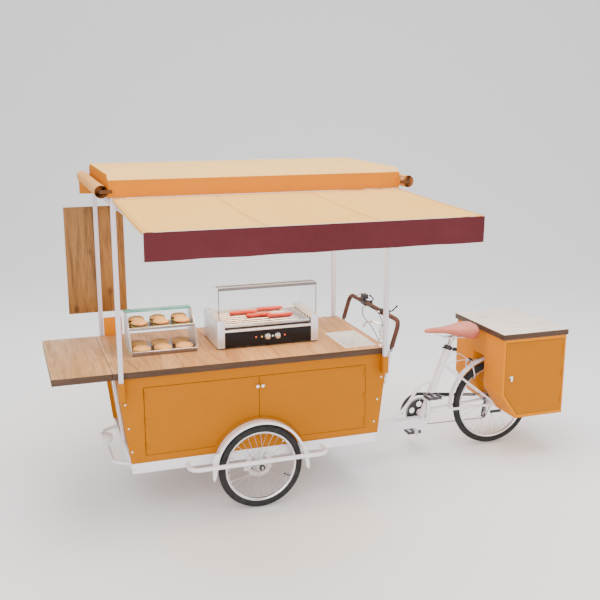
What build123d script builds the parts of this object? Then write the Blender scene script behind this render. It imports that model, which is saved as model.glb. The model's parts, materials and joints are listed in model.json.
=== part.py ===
from build123d import *
import math
import os

os.makedirs("parts", exist_ok=True)

# Cargo tricycle food cart. Millimetres, +Z up, ground at Z 0.
# +X points to the rider's end, travel is towards -X, the serving side is -Y.

# ------------------------------------------------------------------ driving dimensions
CAB_X = -498.0            # middle of the cabinet
CAB_TOP, CAB_BOT = 853.0, 347.0
HALF_TOP, SLOPE = 811.0, 0.1173   # half length at the top, taper per mm of height
SIDE_Y, SIDE_T = 395.0, 18.0      # outer face and thickness of the side panels
RAIL_Z0, RAIL_X = 287.0, 746.0    # base rails under the panels
WT_T, WT_Y, WT_X1 = 38.0, 411.0, 301.0   # worktop
LEAF_X0, LEAF_HINGE = -1654.0, -1330.0
SINK = (52.0, 256.0, -350.0, 4.0)
POST_XF, POST_XR, POST_Y, POST_S = -1291.0, 277.0, 431.0, 25.0
ROOF_Z0, ROOF_Z1, ROOF_Y, ROOF_HALF, ROOF_XC = 1849.0, 1967.0, 450.0, 822.0, -490.0
AWN_XC, AWN_HALF, AWN_Y = -482.0, 810.0, 1415.0
FW_X, FW_R, FW_Y, TYRE = -509.0, 254.0, 441.0, 22.0
RW_X, RW_R = 1292.0, 297.0
BB_X, BB_Z, CRANK = 761.0, 265.0, 170.0
PIVOT_X = 60.0
ST_A, ST_B = (765.0, 0.0, 262.0), (942.0, 0.0, 730.0)   # seat tube, bottom and top
BOX_X0, BOX_X1, BOX_Y, BOX_Z0, BOX_Z1, BOX_T = 1178.0, 1648.0, 310.0, 280.0, 826.0, 12.0


def left_x(z):
    return CAB_X - HALF_TOP + SLOPE * (CAB_TOP - z)


def right_x(z):
    return CAB_X + HALF_TOP - SLOPE * (CAB_TOP - z)


def block(x0, x1, y0, y1, z0, z1, mode=Mode.ADD):
    with Locations(((x0 + x1) / 2, (y0 + y1) / 2, (z0 + z1) / 2)):
        Box(x1 - x0, y1 - y0, z1 - z0, mode=mode)


def bar_y(x, z, y0, y1, r, mode=Mode.ADD):
    with Locations((x, (y0 + y1) / 2, z)):
        Cylinder(r, y1 - y0, rotation=(90, 0, 0), mode=mode)


def bar_x(y, z, x0, x1, r, mode=Mode.ADD):
    with Locations(((x0 + x1) / 2, y, z)):
        Cylinder(r, x1 - x0, rotation=(0, 90, 0), mode=mode)


def bar_z(x, y, z0, z1, r, mode=Mode.ADD):
    with Locations((x, y, (z0 + z1) / 2)):
        Cylinder(r, z1 - z0, mode=mode)


def rod(p, q, r, mode=Mode.ADD):
    p, q = Vector(*p), Vector(*q)
    with BuildSketch(Plane(origin=p, z_dir=q - p)) as section:
        Circle(r)
    extrude(section.sketch, amount=(q - p).length, mode=mode)


def bend_radii(points, largest=1e9):
    radii = []
    for i in range(1, len(points) - 1):
        a = Vector(*points[i]) - Vector(*points[i - 1])
        b = Vector(*points[i + 1]) - Vector(*points[i])
        turn = math.radians(a.get_angle(b))
        radii.append(min(largest, 0.45 * min(a.length, b.length) / math.tan(turn / 2)))
    return radii


def tube(points, r, largest=1e9, bore=0.0):
    radii = bend_radii(points, largest)
    with BuildLine() as path:
        FilletPolyline(*points, radius=radii)
    d = Vector(*points[1]) - Vector(*points[0])
    with BuildSketch(Plane(origin=points[0], z_dir=d)) as section:
        Circle(r)
        if bore:
            Circle(bore, mode=Mode.SUBTRACT)
    sweep(section.sketch, path=path.line)
    return radii, sum(e.length for e in path.edges())


def side_poly(points, y0, y1, mode=Mode.ADD):
    # an X-Z outline given its thickness from y0 to y1
    with BuildSketch(Plane.XZ.offset(-y1)) as outline:
        with BuildLine():
            Polyline(*points, close=True)
        make_face()
    extrude(outline.sketch, amount=y1 - y0, mode=mode)


def end_poly(points, x0, x1, mode=Mode.ADD):
    # a Y-Z outline given its thickness from x0 to x1
    with BuildSketch(Plane.YZ.offset(x0)) as outline:
        with BuildLine():
            Polyline(*points, close=True)
        make_face()
    extrude(outline.sketch, amount=x1 - x0, mode=mode)


def save(builder, label):
    builder.part.label = label
    export_step(builder.part, f"parts/{label}.step")


# ------------------------------------------------------------------ chassis under the cabinet
RX0, RX1 = CAB_X - RAIL_X, CAB_X + RAIL_X
with BuildPart() as chassis_frame:
    for s in (-1, 1):
        block(RX0, RX1, min(s * 345, s * SIDE_Y), max(s * 345, s * SIDE_Y), RAIL_Z0, CAB_BOT)
    for x, w in ((RX0, 40), (RX1 - 40, 40), (FW_X - 30, 60), (PIVOT_X - 40, 80), (-900, 40)):
        block(x, x + w, -346, 346, RAIL_Z0, CAB_BOT)
    # open channels: the side rails face inwards, the cross members face the rear
    for s in (-1, 1):
        block(RX0 + 4, RX1 - 4, min(s * 344, s * (SIDE_Y - 4)), max(s * 344, s * (SIDE_Y - 4)), RAIL_Z0 + 4, CAB_BOT - 4, mode=Mode.SUBTRACT)
    for x, w in ((RX0, 40), (RX1 - 40, 40), (FW_X - 30, 60), (PIVOT_X - 40, 80), (-900, 40)):
        block(x + 4, x + w + (-4 if x == RX1 - 40 else 1), -341, 341, RAIL_Z0 + 4, CAB_BOT - 4, mode=Mode.SUBTRACT)
    # front axle beam with its stub axles
    block(FW_X - 25, FW_X + 25, -394, 394, FW_R - 25, RAIL_Z0 + 1)
    bar_y(FW_X, FW_R, -474, 474, 8)
    # king pin that the rear frame turns on, with its lower washer
    bar_z(PIVOT_X, 0, 172, RAIL_Z0 + 1, 15)
    bar_z(PIVOT_X, 0, 251, RAIL_Z0 + 1, 40)
    bar_z(PIVOT_X, 0, 164, 178.5, 27)
    # white strip up the middle of the front end
    side_poly([(left_x(340) + 4, 340), (left_x(340) + 19, 340), (left_x(850) + 19, 850), (left_x(850) + 4, 850)], -30, 30)
save(chassis_frame, "chassis_frame")

# ------------------------------------------------------------------ cabinet panels
DOOR_X0, DOOR_XM, DOOR_X1, DOOR_Z0, DOOR_Z1, ARCH_R = -1167.0, -499.0, 170.0, 388.0, 790.0, 288.0
PANEL = [(left_x(CAB_TOP), CAB_TOP), (right_x(CAB_TOP), CAB_TOP), (right_x(CAB_BOT), CAB_BOT), (left_x(CAB_BOT), CAB_BOT)]
with BuildPart() as near_side_panel:
    with BuildSketch(Plane.XZ.offset(SIDE_Y - SIDE_T)):
        with BuildLine():
            Polyline(*PANEL, close=True)
        make_face()
        with BuildSketch(mode=Mode.SUBTRACT):
            with Locations(((DOOR_X0 + DOOR_X1) / 2, (DOOR_Z0 + DOOR_Z1) / 2)):
                Rectangle(DOOR_X1 - DOOR_X0, DOOR_Z1 - DOOR_Z0)
            with Locations((FW_X, FW_R)):
                Circle(ARCH_R, mode=Mode.SUBTRACT)
    extrude(amount=SIDE_T)
save(near_side_panel, "near_side_panel")

# the far side, both ends and the floor
with BuildPart() as cabinet_shell:
    side_poly(PANEL, SIDE_Y - SIDE_T, SIDE_Y)
    side_poly([(left_x(CAB_TOP) + 20, CAB_TOP), (left_x(CAB_TOP) + 34, CAB_TOP), (left_x(CAB_BOT) + 34, CAB_BOT), (left_x(CAB_BOT) + 20, CAB_BOT)], -376.5, 377)
    side_poly([(right_x(CAB_TOP) - 14, CAB_TOP), (right_x(CAB_TOP), CAB_TOP), (right_x(CAB_BOT), CAB_BOT), (right_x(CAB_BOT) - 14, CAB_BOT)], -376.5, 377)
    block(left_x(CAB_BOT) + 30, right_x(CAB_BOT) - 10, -376.5, 377, CAB_BOT + 0.3, CAB_BOT + 10)
save(cabinet_shell, "cabinet_shell")

# two doors hinged at their outer edges, notched round the wheel arch
GAP, NOTCH = 3.0, 290.5
with BuildPart() as near_door_front:
    with BuildSketch(Plane.XZ.offset(SIDE_Y - SIDE_T)):
        with Locations(((DOOR_X0 + GAP + DOOR_XM - 1.5) / 2, (DOOR_Z0 + DOOR_Z1) / 2)):
            Rectangle(DOOR_XM - 1.5 - DOOR_X0 - GAP, DOOR_Z1 - DOOR_Z0 - 2 * GAP)
        with Locations((FW_X, FW_R)):
            Circle(NOTCH, mode=Mode.SUBTRACT)
    extrude(amount=SIDE_T)
    for z in (440, 590, 740):
        bar_z(DOOR_X0 + GAP + 5, -398, z - 22, z + 22, 5)
    bar_y(-515, 735, -413, -394, 5)
    bar_y(-515, 735, -421, -412, 10)
save(near_door_front, "near_door_front")

with BuildPart() as near_door_rear:
    with BuildSketch(Plane.XZ.offset(SIDE_Y - SIDE_T)):
        with Locations(((DOOR_X1 - GAP + DOOR_XM + 1.5) / 2, (DOOR_Z0 + DOOR_Z1) / 2)):
            Rectangle(DOOR_X1 - GAP - DOOR_XM - 1.5, DOOR_Z1 - DOOR_Z0 - 2 * GAP)
        with Locations((FW_X, FW_R)):
            Circle(NOTCH, mode=Mode.SUBTRACT)
    extrude(amount=SIDE_T)
    for z in (440, 590, 740):
        bar_z(DOOR_X1 - GAP - 5, -398, z - 22, z + 22, 5)
    bar_y(-484, 735, -413, -394, 5)
    bar_y(-484, 735, -421, -412, 10)
save(near_door_rear, "near_door_rear")

# ------------------------------------------------------------------ worktop, drop leaf, sink
with BuildPart() as worktop:
    block(LEAF_HINGE, WT_X1, -WT_Y, WT_Y, CAB_TOP, CAB_TOP + WT_T)
    block(SINK[0] + 9, SINK[1] - 9, SINK[2] + 9, SINK[3] - 9, CAB_TOP - 1, CAB_TOP + WT_T + 1, mode=Mode.SUBTRACT)
save(worktop, "worktop")

with BuildPart() as drop_leaf:
    block(LEAF_X0, LEAF_HINGE - 2, -WT_Y, WT_Y, CAB_TOP, CAB_TOP + WT_T)
    for y in (-300, 0, 300):
        bar_y(LEAF_HINGE - 1 - 6, CAB_TOP - 2, y - 35, y + 35, 5)
save(drop_leaf, "drop_leaf")

with BuildPart() as sink_basin:
    x0, x1, y0, y1 = SINK
    zt = CAB_TOP + WT_T
    block(x0, x1, y0, y1, zt + 0.1, zt + 3.1)
    block(x0 + 11, x1 - 11, y0 + 11, y1 - 11, zt - 150, zt + 3.1)
    block(x0 + 13, x1 - 13, y0 + 13, y1 - 13, zt - 148, zt + 4, mode=Mode.SUBTRACT)
    bar_z((x0 + x1) / 2 + 20, -80, zt - 175, zt - 149, 22)
    bar_z((x0 + x1) / 2 + 20, -80, zt - 176, zt - 147, 18, mode=Mode.SUBTRACT)
save(sink_basin, "sink_basin")

with BuildPart() as faucet_body:
    fx, fy = 276.0, -372.0
    bar_z(fx, fy, zt, zt + 8, 16)
    bar_z(fx, fy, zt + 7, zt + 96, 10)
save(faucet_body, "faucet_body")

with BuildPart() as faucet_spout:
    bar_z(fx, fy, zt + 96.4, zt + 116, 10)
    tube([(fx, fy, zt + 110), (fx, fy, zt + 128), (fx - 30, fy + 50, zt + 138), (fx - 60, fy + 105, zt + 122), (fx - 66, fy + 116, zt + 96)], 5, 30)
save(faucet_spout, "faucet_spout")

with BuildPart() as water_tanks:
    block(-330, -110, -340, -20, CAB_BOT + 10.5, 640)
    bar_z(-220, -180, 638, 655, 32)
    block(-60, 160, -340, -20, CAB_BOT + 10.5, 640)
    bar_z(50, -180, 638, 655, 32)
save(water_tanks, "water_tanks")

with BuildPart() as splash_guard:
    block(-1277, -1165, 401, 409, CAB_TOP + WT_T, 1008)
save(splash_guard, "splash_guard")

# ------------------------------------------------------------------ posts and canopy
with BuildPart() as post_sockets:
    for x in (POST_XF, POST_XR):
        for s in (-1, 1):
            for z0, z1 in ((738, 842),):
                a, b = sorted((s * (SIDE_Y + 0.2), s * (POST_Y + 16)))
                block(x - 17, x + 17, a, b, z0, z1)
                c, d = sorted((s * (POST_Y - POST_S / 2 - 0.3), s * (POST_Y + POST_S / 2 + 0.3)))
                block(x - 12.8, x + 12.8, c, d, z0 - 1, z1 + 1, mode=Mode.SUBTRACT)
save(post_sockets, "post_sockets")

with BuildPart() as canopy_frame:
    for x in (POST_XF, POST_XR):
        for y in (-POST_Y, POST_Y):
            block(x - POST_S / 2, x + POST_S / 2, y - POST_S / 2, y + POST_S / 2, 741, ROOF_Z0 + 1)
    for s in (-1, 1):
        a, b = sorted((s * 418.5, s * 443.5))
        block(POST_XF - 12.5, POST_XR + 12.5, a, b, ROOF_Z0 + 0.2, ROOF_Z0 + 25)
    for x in (POST_XF, -754, -218, POST_XR):
        block(x - 12.5, x + 12.5, -420, 420, ROOF_Z0 + 0.2, ROOF_Z0 + 25)
    # square guide tubes for the awning slides, two for each side
    for x in (-1262, -1228, 214, 248):
        block(x - 15, x + 15, -444, 444, ROOF_Z0 - 68, ROOF_Z0 - 38)
        block(x - 10.5, x + 10.5, -450, 450, ROOF_Z0 - 63.5, ROOF_Z0 - 42.5, mode=Mode.SUBTRACT)
        for y in (-380, 0, 380):
            block(x - 6, x + 6, y - 20, y + 20, ROOF_Z0 - 39, ROOF_Z0 + 1)
    for y in (-380, 0, 380):
        block(-1280, -1210, y - 20, y + 20, ROOF_Z0 - 4, ROOF_Z0 + 2)
        block(196, 266, y - 20, y + 20, ROOF_Z0 - 4, ROOF_Z0 + 2)
        block(-1280, -1210, y - 12.5, y + 12.5, ROOF_Z0 + 0.2, ROOF_Z0 + 25)
        block(196, 266, y - 12.5, y + 12.5, ROOF_Z0 + 0.2, ROOF_Z0 + 25)
save(canopy_frame, "canopy_frame")

RT = 6.0
BLIND_R, BLIND_Z = 36.0, 1886.0
with BuildPart() as canopy_roof:
    end_poly([(-ROOF_Y, ROOF_Z0), (ROOF_Y, ROOF_Z0), (ROOF_Y, 1940), (398, ROOF_Z1), (-398, ROOF_Z1), (-ROOF_Y, 1940)], ROOF_XC - ROOF_HALF, ROOF_XC + ROOF_HALF)
    end_poly([(-ROOF_Y + RT, ROOF_Z0 - 1), (ROOF_Y - RT, ROOF_Z0 - 1), (ROOF_Y - RT, 1936), (396, ROOF_Z1 - RT), (-396, ROOF_Z1 - RT), (-ROOF_Y + RT, 1936)], ROOF_XC - ROOF_HALF + RT, ROOF_XC + ROOF_HALF - RT, mode=Mode.SUBTRACT)
    # a rod with a hanger at each end carries each rolled side blind
    for e in (-1, 1):
        bx, ex = ROOF_XC + e * (ROOF_HALF + BLIND_R + 4), ROOF_XC + e * (ROOF_HALF - 16)
        bar_y(bx, BLIND_Z, -494, 494, 8)
        for s in (-1, 1):
            a, b = sorted((s * 488, s * 493))
            block(min(bx + e * 9, ex), max(bx + e * 9, ex), a, b, BLIND_Z - 9, BLIND_Z + 9)
            a, b = sorted((s * 448, s * 489))
            block(min(ex, ex + e * 8), max(ex, ex + e * 8), a, b, BLIND_Z - 12, BLIND_Z + 12)
save(canopy_roof, "canopy_roof")

with BuildPart() as front_blind:
    bar_y(ROOF_XC - ROOF_HALF - BLIND_R - 4, BLIND_Z, -486, 486, BLIND_R)
    bar_y(ROOF_XC - ROOF_HALF - BLIND_R - 4, BLIND_Z, -487, 487, 8.08, mode=Mode.SUBTRACT)
save(front_blind, "front_blind")
with BuildPart() as rear_blind:
    bar_y(ROOF_XC + ROOF_HALF + BLIND_R + 4, BLIND_Z, -486, 486, BLIND_R)
    bar_y(ROOF_XC + ROOF_HALF + BLIND_R + 4, BLIND_Z, -487, 487, 8.08, mode=Mode.SUBTRACT)
save(rear_blind, "rear_blind")

# awnings: a front bar on two slides, the cloth above it and the valance on it
AX0, AX1 = AWN_XC - AWN_HALF, AWN_XC + AWN_HALF
for s, side, xs in ((-1, "near", (-1262, 248)), (1, "far", (-1228, 214))):
    with BuildPart() as awning_bar:
        a, b = sorted((s * (AWN_Y - 26), s * (AWN_Y - 4)))
        block(AX0 + 2, AX1 - 2, a, b, 1781, 1803)
        for x in xs:
            a, b = sorted((s * 330, s * (AWN_Y - 25)))
            block(x - 10, x + 10, a, b, 1786, 1806)
        a, b = sorted((s * (AWN_Y - 4), s * AWN_Y))
        block(AX0, AX1, a, b, 1681, 1806)
    save(awning_bar, f"{side}_awning_bar")
    with BuildPart() as cloth:
        end_poly([(s * 452, 1844), (s * 452, 1847), (s * (AWN_Y - 4), 1810), (s * (AWN_Y - 4), 1807)], AX0, AX1)
    save(cloth, f"{side}_awning_cloth")

with BuildPart() as sign_board:
    block(-1479, -1121, 447, 465, 1036, 1702)
    for z in (1150, 1590):
        block(-1303, -1279, 443.7, 447.5, z - 14, z + 14)
save(sign_board, "sign_board")

# ------------------------------------------------------------------ handlebar and its controls
HB = [(305, -388, 650), (327.5, -388, 842), (386, -388, 1040), (386, 388, 1040), (327.5, 388, 842), (305, 388, 650)]


def bent_bar(points, radii, r):
    with BuildLine() as path:
        FilletPolyline(*points, radius=radii)
    with BuildSketch(Plane(origin=points[0], z_dir=Vector(*points[1]) - Vector(*points[0]))) as section:
        Circle(r)
    sweep(section.sketch, path=path.line)


with BuildPart() as handlebar:
    bent_bar(HB, [300, 55, 55, 300], 11)
    for s in (-1, 1):
        for z in (680, 790):
            x = 305 + (z - 650) * (22.5 / 192)
            block(right_x(z) + 1.5, x, s * 388 - 9, s * 388 + 9, z - 12, z + 12)
save(handlebar, "handlebar")

with BuildPart() as handlebar_wrap:
    # leather sleeves on the two uprights and two lengths of the crossbar
    for s in (-1, 1):
        p, q = Vector(327.5, s * 388, 842), Vector(386, s * 388, 1040)
        u = (q - p).normalized()
        rod(tuple(p + u * 45), tuple(q - u * 62), 15)
        rod(tuple(p + u * 44), tuple(q - u * 61), 11.2, mode=Mode.SUBTRACT)
        a, b = sorted((s * 165, s * 322))
        bar_y(386, 1040, a, b, 15)
        bar_y(386, 1040, a - 1, b + 1, 11.2, mode=Mode.SUBTRACT)
    bar_y(386, 1040, -112, 100, 15)
    bar_y(386, 1040, -113, 101, 11.2, mode=Mode.SUBTRACT)
save(handlebar_wrap, "handlebar_wrap")

with BuildPart() as bar_controls:
    # lever clamps, and a small control box standing on the bar
    block(370, 408, 128, 184, 1062, 1092)
    fillet(bar_controls.edges(), 5)
    bar_y(386, 1040, 146, 172, 19)
    block(379, 393, 149, 169, 1056, 1066)
    for y in (-138, 126):
        bar_y(386, 1040, y - 16, y + 16, 20)
        block(403, 436, y - 10, y + 10, 1031, 1051)
        block(413, 437, y - 11, y + 11, 1035.5, 1047.5, mode=Mode.SUBTRACT)
        bar_z(425, y, 1030, 1052, 3)
    for a, b in ((-160, -116), (104, 148)):
        bar_y(386, 1040, a, b, 11.2, mode=Mode.SUBTRACT)
    bar_y(386, 1040, 145, 175, 15.2, mode=Mode.SUBTRACT)
save(bar_controls, "bar_controls")

for s, side, y in ((-1, "near", -138), (1, "far", 126)):
    with BuildPart() as lever:
        tip = (463, y - 47, 1079) if s < 0 else (474, y + 126, 1053)
        tube([(425, y, 1041), (443, y - 20, 1042) if s < 0 else (470, y + 60, 1047), tip], 4.3, 60)
        with Locations(tip):
            Sphere(7)
        bar_z(425, y, 1036.5, 1045.5, 8)
        bar_z(425, y, 1029, 1053, 3.05, mode=Mode.SUBTRACT)
    save(lever, f"{side}_brake_lever")

with BuildPart() as brake_cables:
    total = 0.0
    for pts in (
        [(364.6, 126, 1046), (345, 104, 1054), (333, 62, 1063), (327, 12, 1069), (325, -42, 1073), (326, -96, 1073), (329, -150, 1067), (332, -201, 1052), (334, -243, 1024), (335, -262, 982), (335, -263, 934), (334, -257, 888), (330, -250, 842), (322, -247, 798)],
        [(364.6, -138, 1040), (350, -112, 1050), (343, -66, 1059), (341, -16, 1056), (339, 24, 1047), (336, 52, 1031), (334, 60, 1004), (332, 46, 979), (329, 4, 966), (326, -60, 957), (322, -126, 942), (321, -178, 922), (320, -226, 898), (320, -262, 862), (319, -274, 820), (315, -272, 780)],
    ):
        radii, length = tube(pts, 2.5)
        total += length
        print("brake cable radii", [round(r) for r in radii], "length", round(length))
    print("brake cable volume", round(brake_cables.part.volume), "section x length", round(math.pi * 2.5 ** 2 * total))
save(brake_cables, "brake_cables")

# ------------------------------------------------------------------ bumper, guards, lamp, fenders
with BuildPart() as guard_rails:
    tube([(RX0 + 14, -318, 317), (-1333, -250, 317), (-1333, 250, 317), (RX0 + 14, 318, 317)], 11, 45)
    for s in (-1, 1):
        tube([(-936, s * 390, 310), (-936, s * 515, 310), (-114, s * 515, 310), (-114, s * 390, 310)], 13, 55)
    block(RX0, RX1, -SIDE_Y, SIDE_Y, RAIL_Z0 - 5, CAB_BOT + 5, mode=Mode.SUBTRACT)
save(guard_rails, "guard_rails")

with BuildPart() as headlamp:
    block(-1344, -1322, -12, 12, 326.5, 345)
    bar_y(-1333, 317, -12, 12, 15)
    bar_y(-1333, 317, -13, 13, 11.1, mode=Mode.SUBTRACT)
    with BuildSketch(Plane(origin=(-1362, 0, 368), z_dir=(1, 0, 0))):
        Circle(38)
    with BuildSketch(Plane(origin=(-1304, 0, 368), z_dir=(1, 0, 0))):
        Circle(24)
    loft()
    bar_x(0, 368, -1370, -1361, 40)
save(headlamp, "headlamp")

def fender_blade(y, r0, r1, t):
    with BuildSketch(Plane.XZ.offset(-y)) as blade:
        with Locations((FW_X, FW_R)):
            Circle(r1)
            Circle(r0, mode=Mode.SUBTRACT)
        with BuildLine():
            Polyline((FW_X, FW_R), (FW_X - 600, FW_R + 210), (FW_X - 600, FW_R + 700), (FW_X + 600, FW_R + 700), (FW_X + 600, FW_R + 175), close=True)
        make_face(mode=Mode.INTERSECT)
    extrude(blade.sketch, amount=t / 2, both=True)


with BuildPart() as front_fenders:
    # a curved blade with rolled edges over each tyre, and a pointed stay at each end
    for s in (-1, 1):
        fender_blade(s * FW_Y, 274, 278, 58)
        for e in (-1, 1):
            fender_blade(s * FW_Y + e * 27.5, 264, 278, 3)
        a, b = sorted((s * 469.5, s * 475.5))
        side_poly([(-785, 374), (-760, 374), (-760, 345), (-783, 228), (-797, 205), (-803, 228), (-803, 345)], a, b)
        side_poly([(-250, 360), (-228, 345), (-216, 228), (-222, 203), (-236, 228), (-258, 345)], a, b)
        # bracket from the blade up to the panel
        a, b = sorted((s * 395.2, s * 413))
        block(FW_X - 20, FW_X + 20, a, b, FW_R + 268, FW_R + 273.5)
save(front_fenders, "front_fenders")

with BuildPart() as brake_calipers:
    for s in (-1, 1):
        a, b = sorted((s * 394.5, s * 403))
        block(-606, -548, a, b, 222, 272)
        a, b = sorted((s * 408, s * 418))
        block(-606, -566, a, b, 222, 272)
        a, b = sorted((s * 400, s * 412))
        block(-606, -592, a, b, 222, 272)
        a, b = sorted((s * 385, s * 396))
        block(-560, -534.2, a, b, 236, 262)
save(brake_calipers, "brake_calipers")


# ------------------------------------------------------------------ wheels
def tyre_ring(x, y, z, outer, minor):
    # round section with a flat seat where it meets the rim
    with BuildSketch(Plane(origin=(x, y, z), x_dir=(1, 0, 0), z_dir=(0, 0, 1))) as section:
        with Locations((outer - minor, 0)):
            Circle(minor)
        with Locations((outer - 2 * minor, 0)):
            Rectangle(8, 4 * minor, mode=Mode.SUBTRACT)
    revolve(section.sketch, axis=Axis((x, y, z), (0, 1, 0)))


def spoked_wheel(x, y, z, seat, hub_half, hub_r, bore, count):
    with BuildSketch(Plane(origin=(x, y, z), x_dir=(1, 0, 0), z_dir=(0, 0, 1))) as section:
        with Locations((seat - 7.2, 0)):
            Rectangle(14, 27)
        with Locations((hub_r / 2 + bore / 2, 0)):
            Rectangle(hub_r - bore, 2 * hub_half)
        for f in (-1, 1):
            with Locations((hub_r + 4, f * (hub_half - 14))):
                Rectangle(12, 4)
    revolve(section.sketch, axis=Axis((x, y, z), (0, 1, 0)))
    for i in range(count):
        a = 2 * math.pi * i / count
        f = 1 if i % 2 else -1
        rod((x + (hub_r + 6) * math.cos(a), y + f * (hub_half - 14), z + (hub_r + 6) * math.sin(a)),
            (x + (seat - 11) * math.cos(a), y, z + (seat - 11) * math.sin(a)), 1.5)


for s, side in ((-1, "near"), (1, "far")):
    with BuildPart() as tyre:
        tyre_ring(FW_X, s * FW_Y, FW_R, FW_R, TYRE)
    save(tyre, f"{side}_tyre")
    with BuildPart() as wheel:
        spoked_wheel(FW_X, s * FW_Y, FW_R, FW_R - 2 * TYRE + 4, 32, 17, 8.1, 20)
        a, b = sorted((s * 404.5, s * 406.5))
        bar_y(FW_X, FW_R, a, b, 80)
        a, b = sorted((s * 406, s * 411))
        bar_y(FW_X, FW_R, a, b, 26)
        a, b = sorted((s * 470, s * 479))
        bar_y(FW_X, FW_R, a, b, 15)
        bar_y(FW_X, FW_R, -476, 476, 8.1, mode=Mode.SUBTRACT)
    save(wheel, f"{side}_wheel")

with BuildPart() as rear_tyre:
    tyre_ring(RW_X, 0, RW_R, RW_R, TYRE)
save(rear_tyre, "rear_tyre")
with BuildPart() as rear_wheel:
    spoked_wheel(RW_X, 0, RW_R, RW_R - 2 * TYRE + 4, 40, 18, 6.1, 24)
    for i, r in enumerate((38, 34, 30)):
        bar_y(RW_X, RW_R, 42.5 + 3 * i, 44.5 + 3 * i, r)
    bar_y(RW_X, RW_R, 39, 52, 22)
    bar_y(RW_X, RW_R, -55, 55, 6.1, mode=Mode.SUBTRACT)
save(rear_wheel, "rear_wheel")

# ------------------------------------------------------------------ rear frame
A, B = Vector(*ST_A), Vector(*ST_B)
U = (B - A).normalized()
with BuildPart() as rear_frame:
    block(PIVOT_X + 20, 722, -30, 30, 185, 245)
    bar_z(PIVOT_X, 0, 180, 250, 34)
    side_poly([(700, 245), (792, 245), (776, 153), (722, 168), (700, 185)], -30, 30)
    bar_y(BB_X, BB_Z, -38, 38, 25)
    rod(ST_A, ST_B, 25)
    for s in (-1, 1):
        rod((782, s * 25, 284), (1268, s * 63, RW_R), 9)
        rod(tuple(A + U * 372 + Vector(0, s * 16, 0)), (1276, s * 65, RW_R + 12), 7.5)
        a, b = sorted((s * 57, s * 63))
        bar_y(RW_X, RW_R, a, b, 22)
        side_poly([(1250, 287), (1292, 280), (1300, 312), (1256, 330)], a, b)
        # plates that carry the rear box
        a, b = sorted((s * 62, s * 73))
        side_poly([(1310, 262), (1398, 262), (1398, 330), (1350, 330), (1330, 300), (1300, 300)], a, b)
        a, b = sorted((s * 62, s * 69))
        bar_y(RW_X, RW_R, a, b, 13)
    bar_y(RW_X, RW_R, -66, 66, 6)
    tube([(525, 0, 238), (600, 0, 292), (668, 0, 368), (716, 0, 452), (786, 0, 492), (846, 0, 492)], 10.5)
    # clamp collar, its knob and its quick lever
    rod(tuple(B - U * 26), tuple(B - U * 4), 28.5)
    rod(tuple(B - U * 15 + Vector(22, 0, -8)), tuple(B - U * 15 + Vector(44, 0, -16)), 5)
    rod(tuple(B - U * 15 + Vector(44, 0, -16)), tuple(B - U * 15 + Vector(60, 0, -22)), 15)
    rod(tuple(B - U * 15 + Vector(-22, -5, 8)), tuple(B - U * 15 + Vector(-56, -32, 12)), 5)
    rod(tuple(A + U * 245), tuple(A + U * 512), 13.55, mode=Mode.SUBTRACT)
    bar_y(BB_X, BB_Z, -40, 40, 10.1, mode=Mode.SUBTRACT)
    bar_z(PIVOT_X, 0, 170, 260, 15.1, mode=Mode.SUBTRACT)
save(rear_frame, "rear_frame")

with BuildPart() as seat_post:
    rod(tuple(A + U * 290), tuple(A + U * 552), 13.5)
    T = A + U * 552
    bar_y(T.X, T.Z, -22, 22, 15)
    bar_x(-19, T.Z + 12, T.X - 55, T.X + 55, 3.5)
    bar_x(19, T.Z + 12, T.X - 55, T.X + 55, 3.5)
save(seat_post, "seat_post")

SD_Z0 = T.Z + 16.5
with BuildPart() as saddle:
    with BuildSketch(Plane.XY.offset(SD_Z0)):
        with Locations((786, 0)):
            Circle(24)
        with Locations((1085, 50), (1085, -50)):
            Circle(50)
        make_hull()
    extrude(amount=80)
    fillet(saddle.faces().sort_by(Axis.Z)[-1].edges(), 14)
save(saddle, "saddle")

with BuildPart() as crankset:
    bar_y(BB_X, BB_Z, -88, 88, 10)
    bar_y(BB_X, BB_Z, 47, 51, 91)
    for i in range(5):
        a = math.radians(72 * i + 20)
        with Locations((BB_X + 55 * math.cos(a), 49, BB_Z + 55 * math.sin(a))):
            Cylinder(20, 6, rotation=(90, 0, 0), mode=Mode.SUBTRACT)
    for s in (-1, 1):
        e = BB_Z - s * CRANK
        a, b = sorted((s * 74, s * 88))
        z0, z1 = sorted((BB_Z, e))
        block(BB_X - 13, BB_X + 13, a, b, z0, z1)
        bar_y(BB_X, BB_Z, a, b, 19)
        bar_y(BB_X, e, a, b, 13)
        a, b = sorted((s * 87, s * 182))
        bar_y(BB_X, e, a, b, 6)
save(crankset, "crankset")

for s, side in ((-1, "near"), (1, "far")):
    e = BB_Z - s * CRANK
    with BuildPart() as pedal:
        a, b = sorted((s * 91, s * 187))
        block(BB_X - 47, BB_X + 47, a, b, e - 13, e + 13)
        block(BB_X - 36, BB_X - 14, a + 12, b - 12, e - 14, e + 14, mode=Mode.SUBTRACT)
        block(BB_X + 14, BB_X + 36, a + 12, b - 12, e - 14, e + 14, mode=Mode.SUBTRACT)
        a, b = sorted((s * 90, s * 182.3))
        bar_y(BB_X, e, a, b, 6.1, mode=Mode.SUBTRACT)
    save(pedal, f"{side}_pedal")

with BuildPart() as drive_chain:
    with BuildSketch(Plane.XZ.offset(-51)):
        with Locations((BB_X, BB_Z)):
            Circle(100)
        with Locations((RW_X, RW_R)):
            Circle(47)
        with Locations((1262, 182)):
            Circle(26)
        make_hull()
        with BuildSketch(mode=Mode.SUBTRACT):
            with Locations((BB_X, BB_Z)):
                Circle(92.2)
            with Locations((RW_X, RW_R)):
                Circle(39)
            with Locations((1262, 182)):
                Circle(18)
            make_hull()
    extrude(amount=4)
save(drive_chain, "drive_chain")

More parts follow.
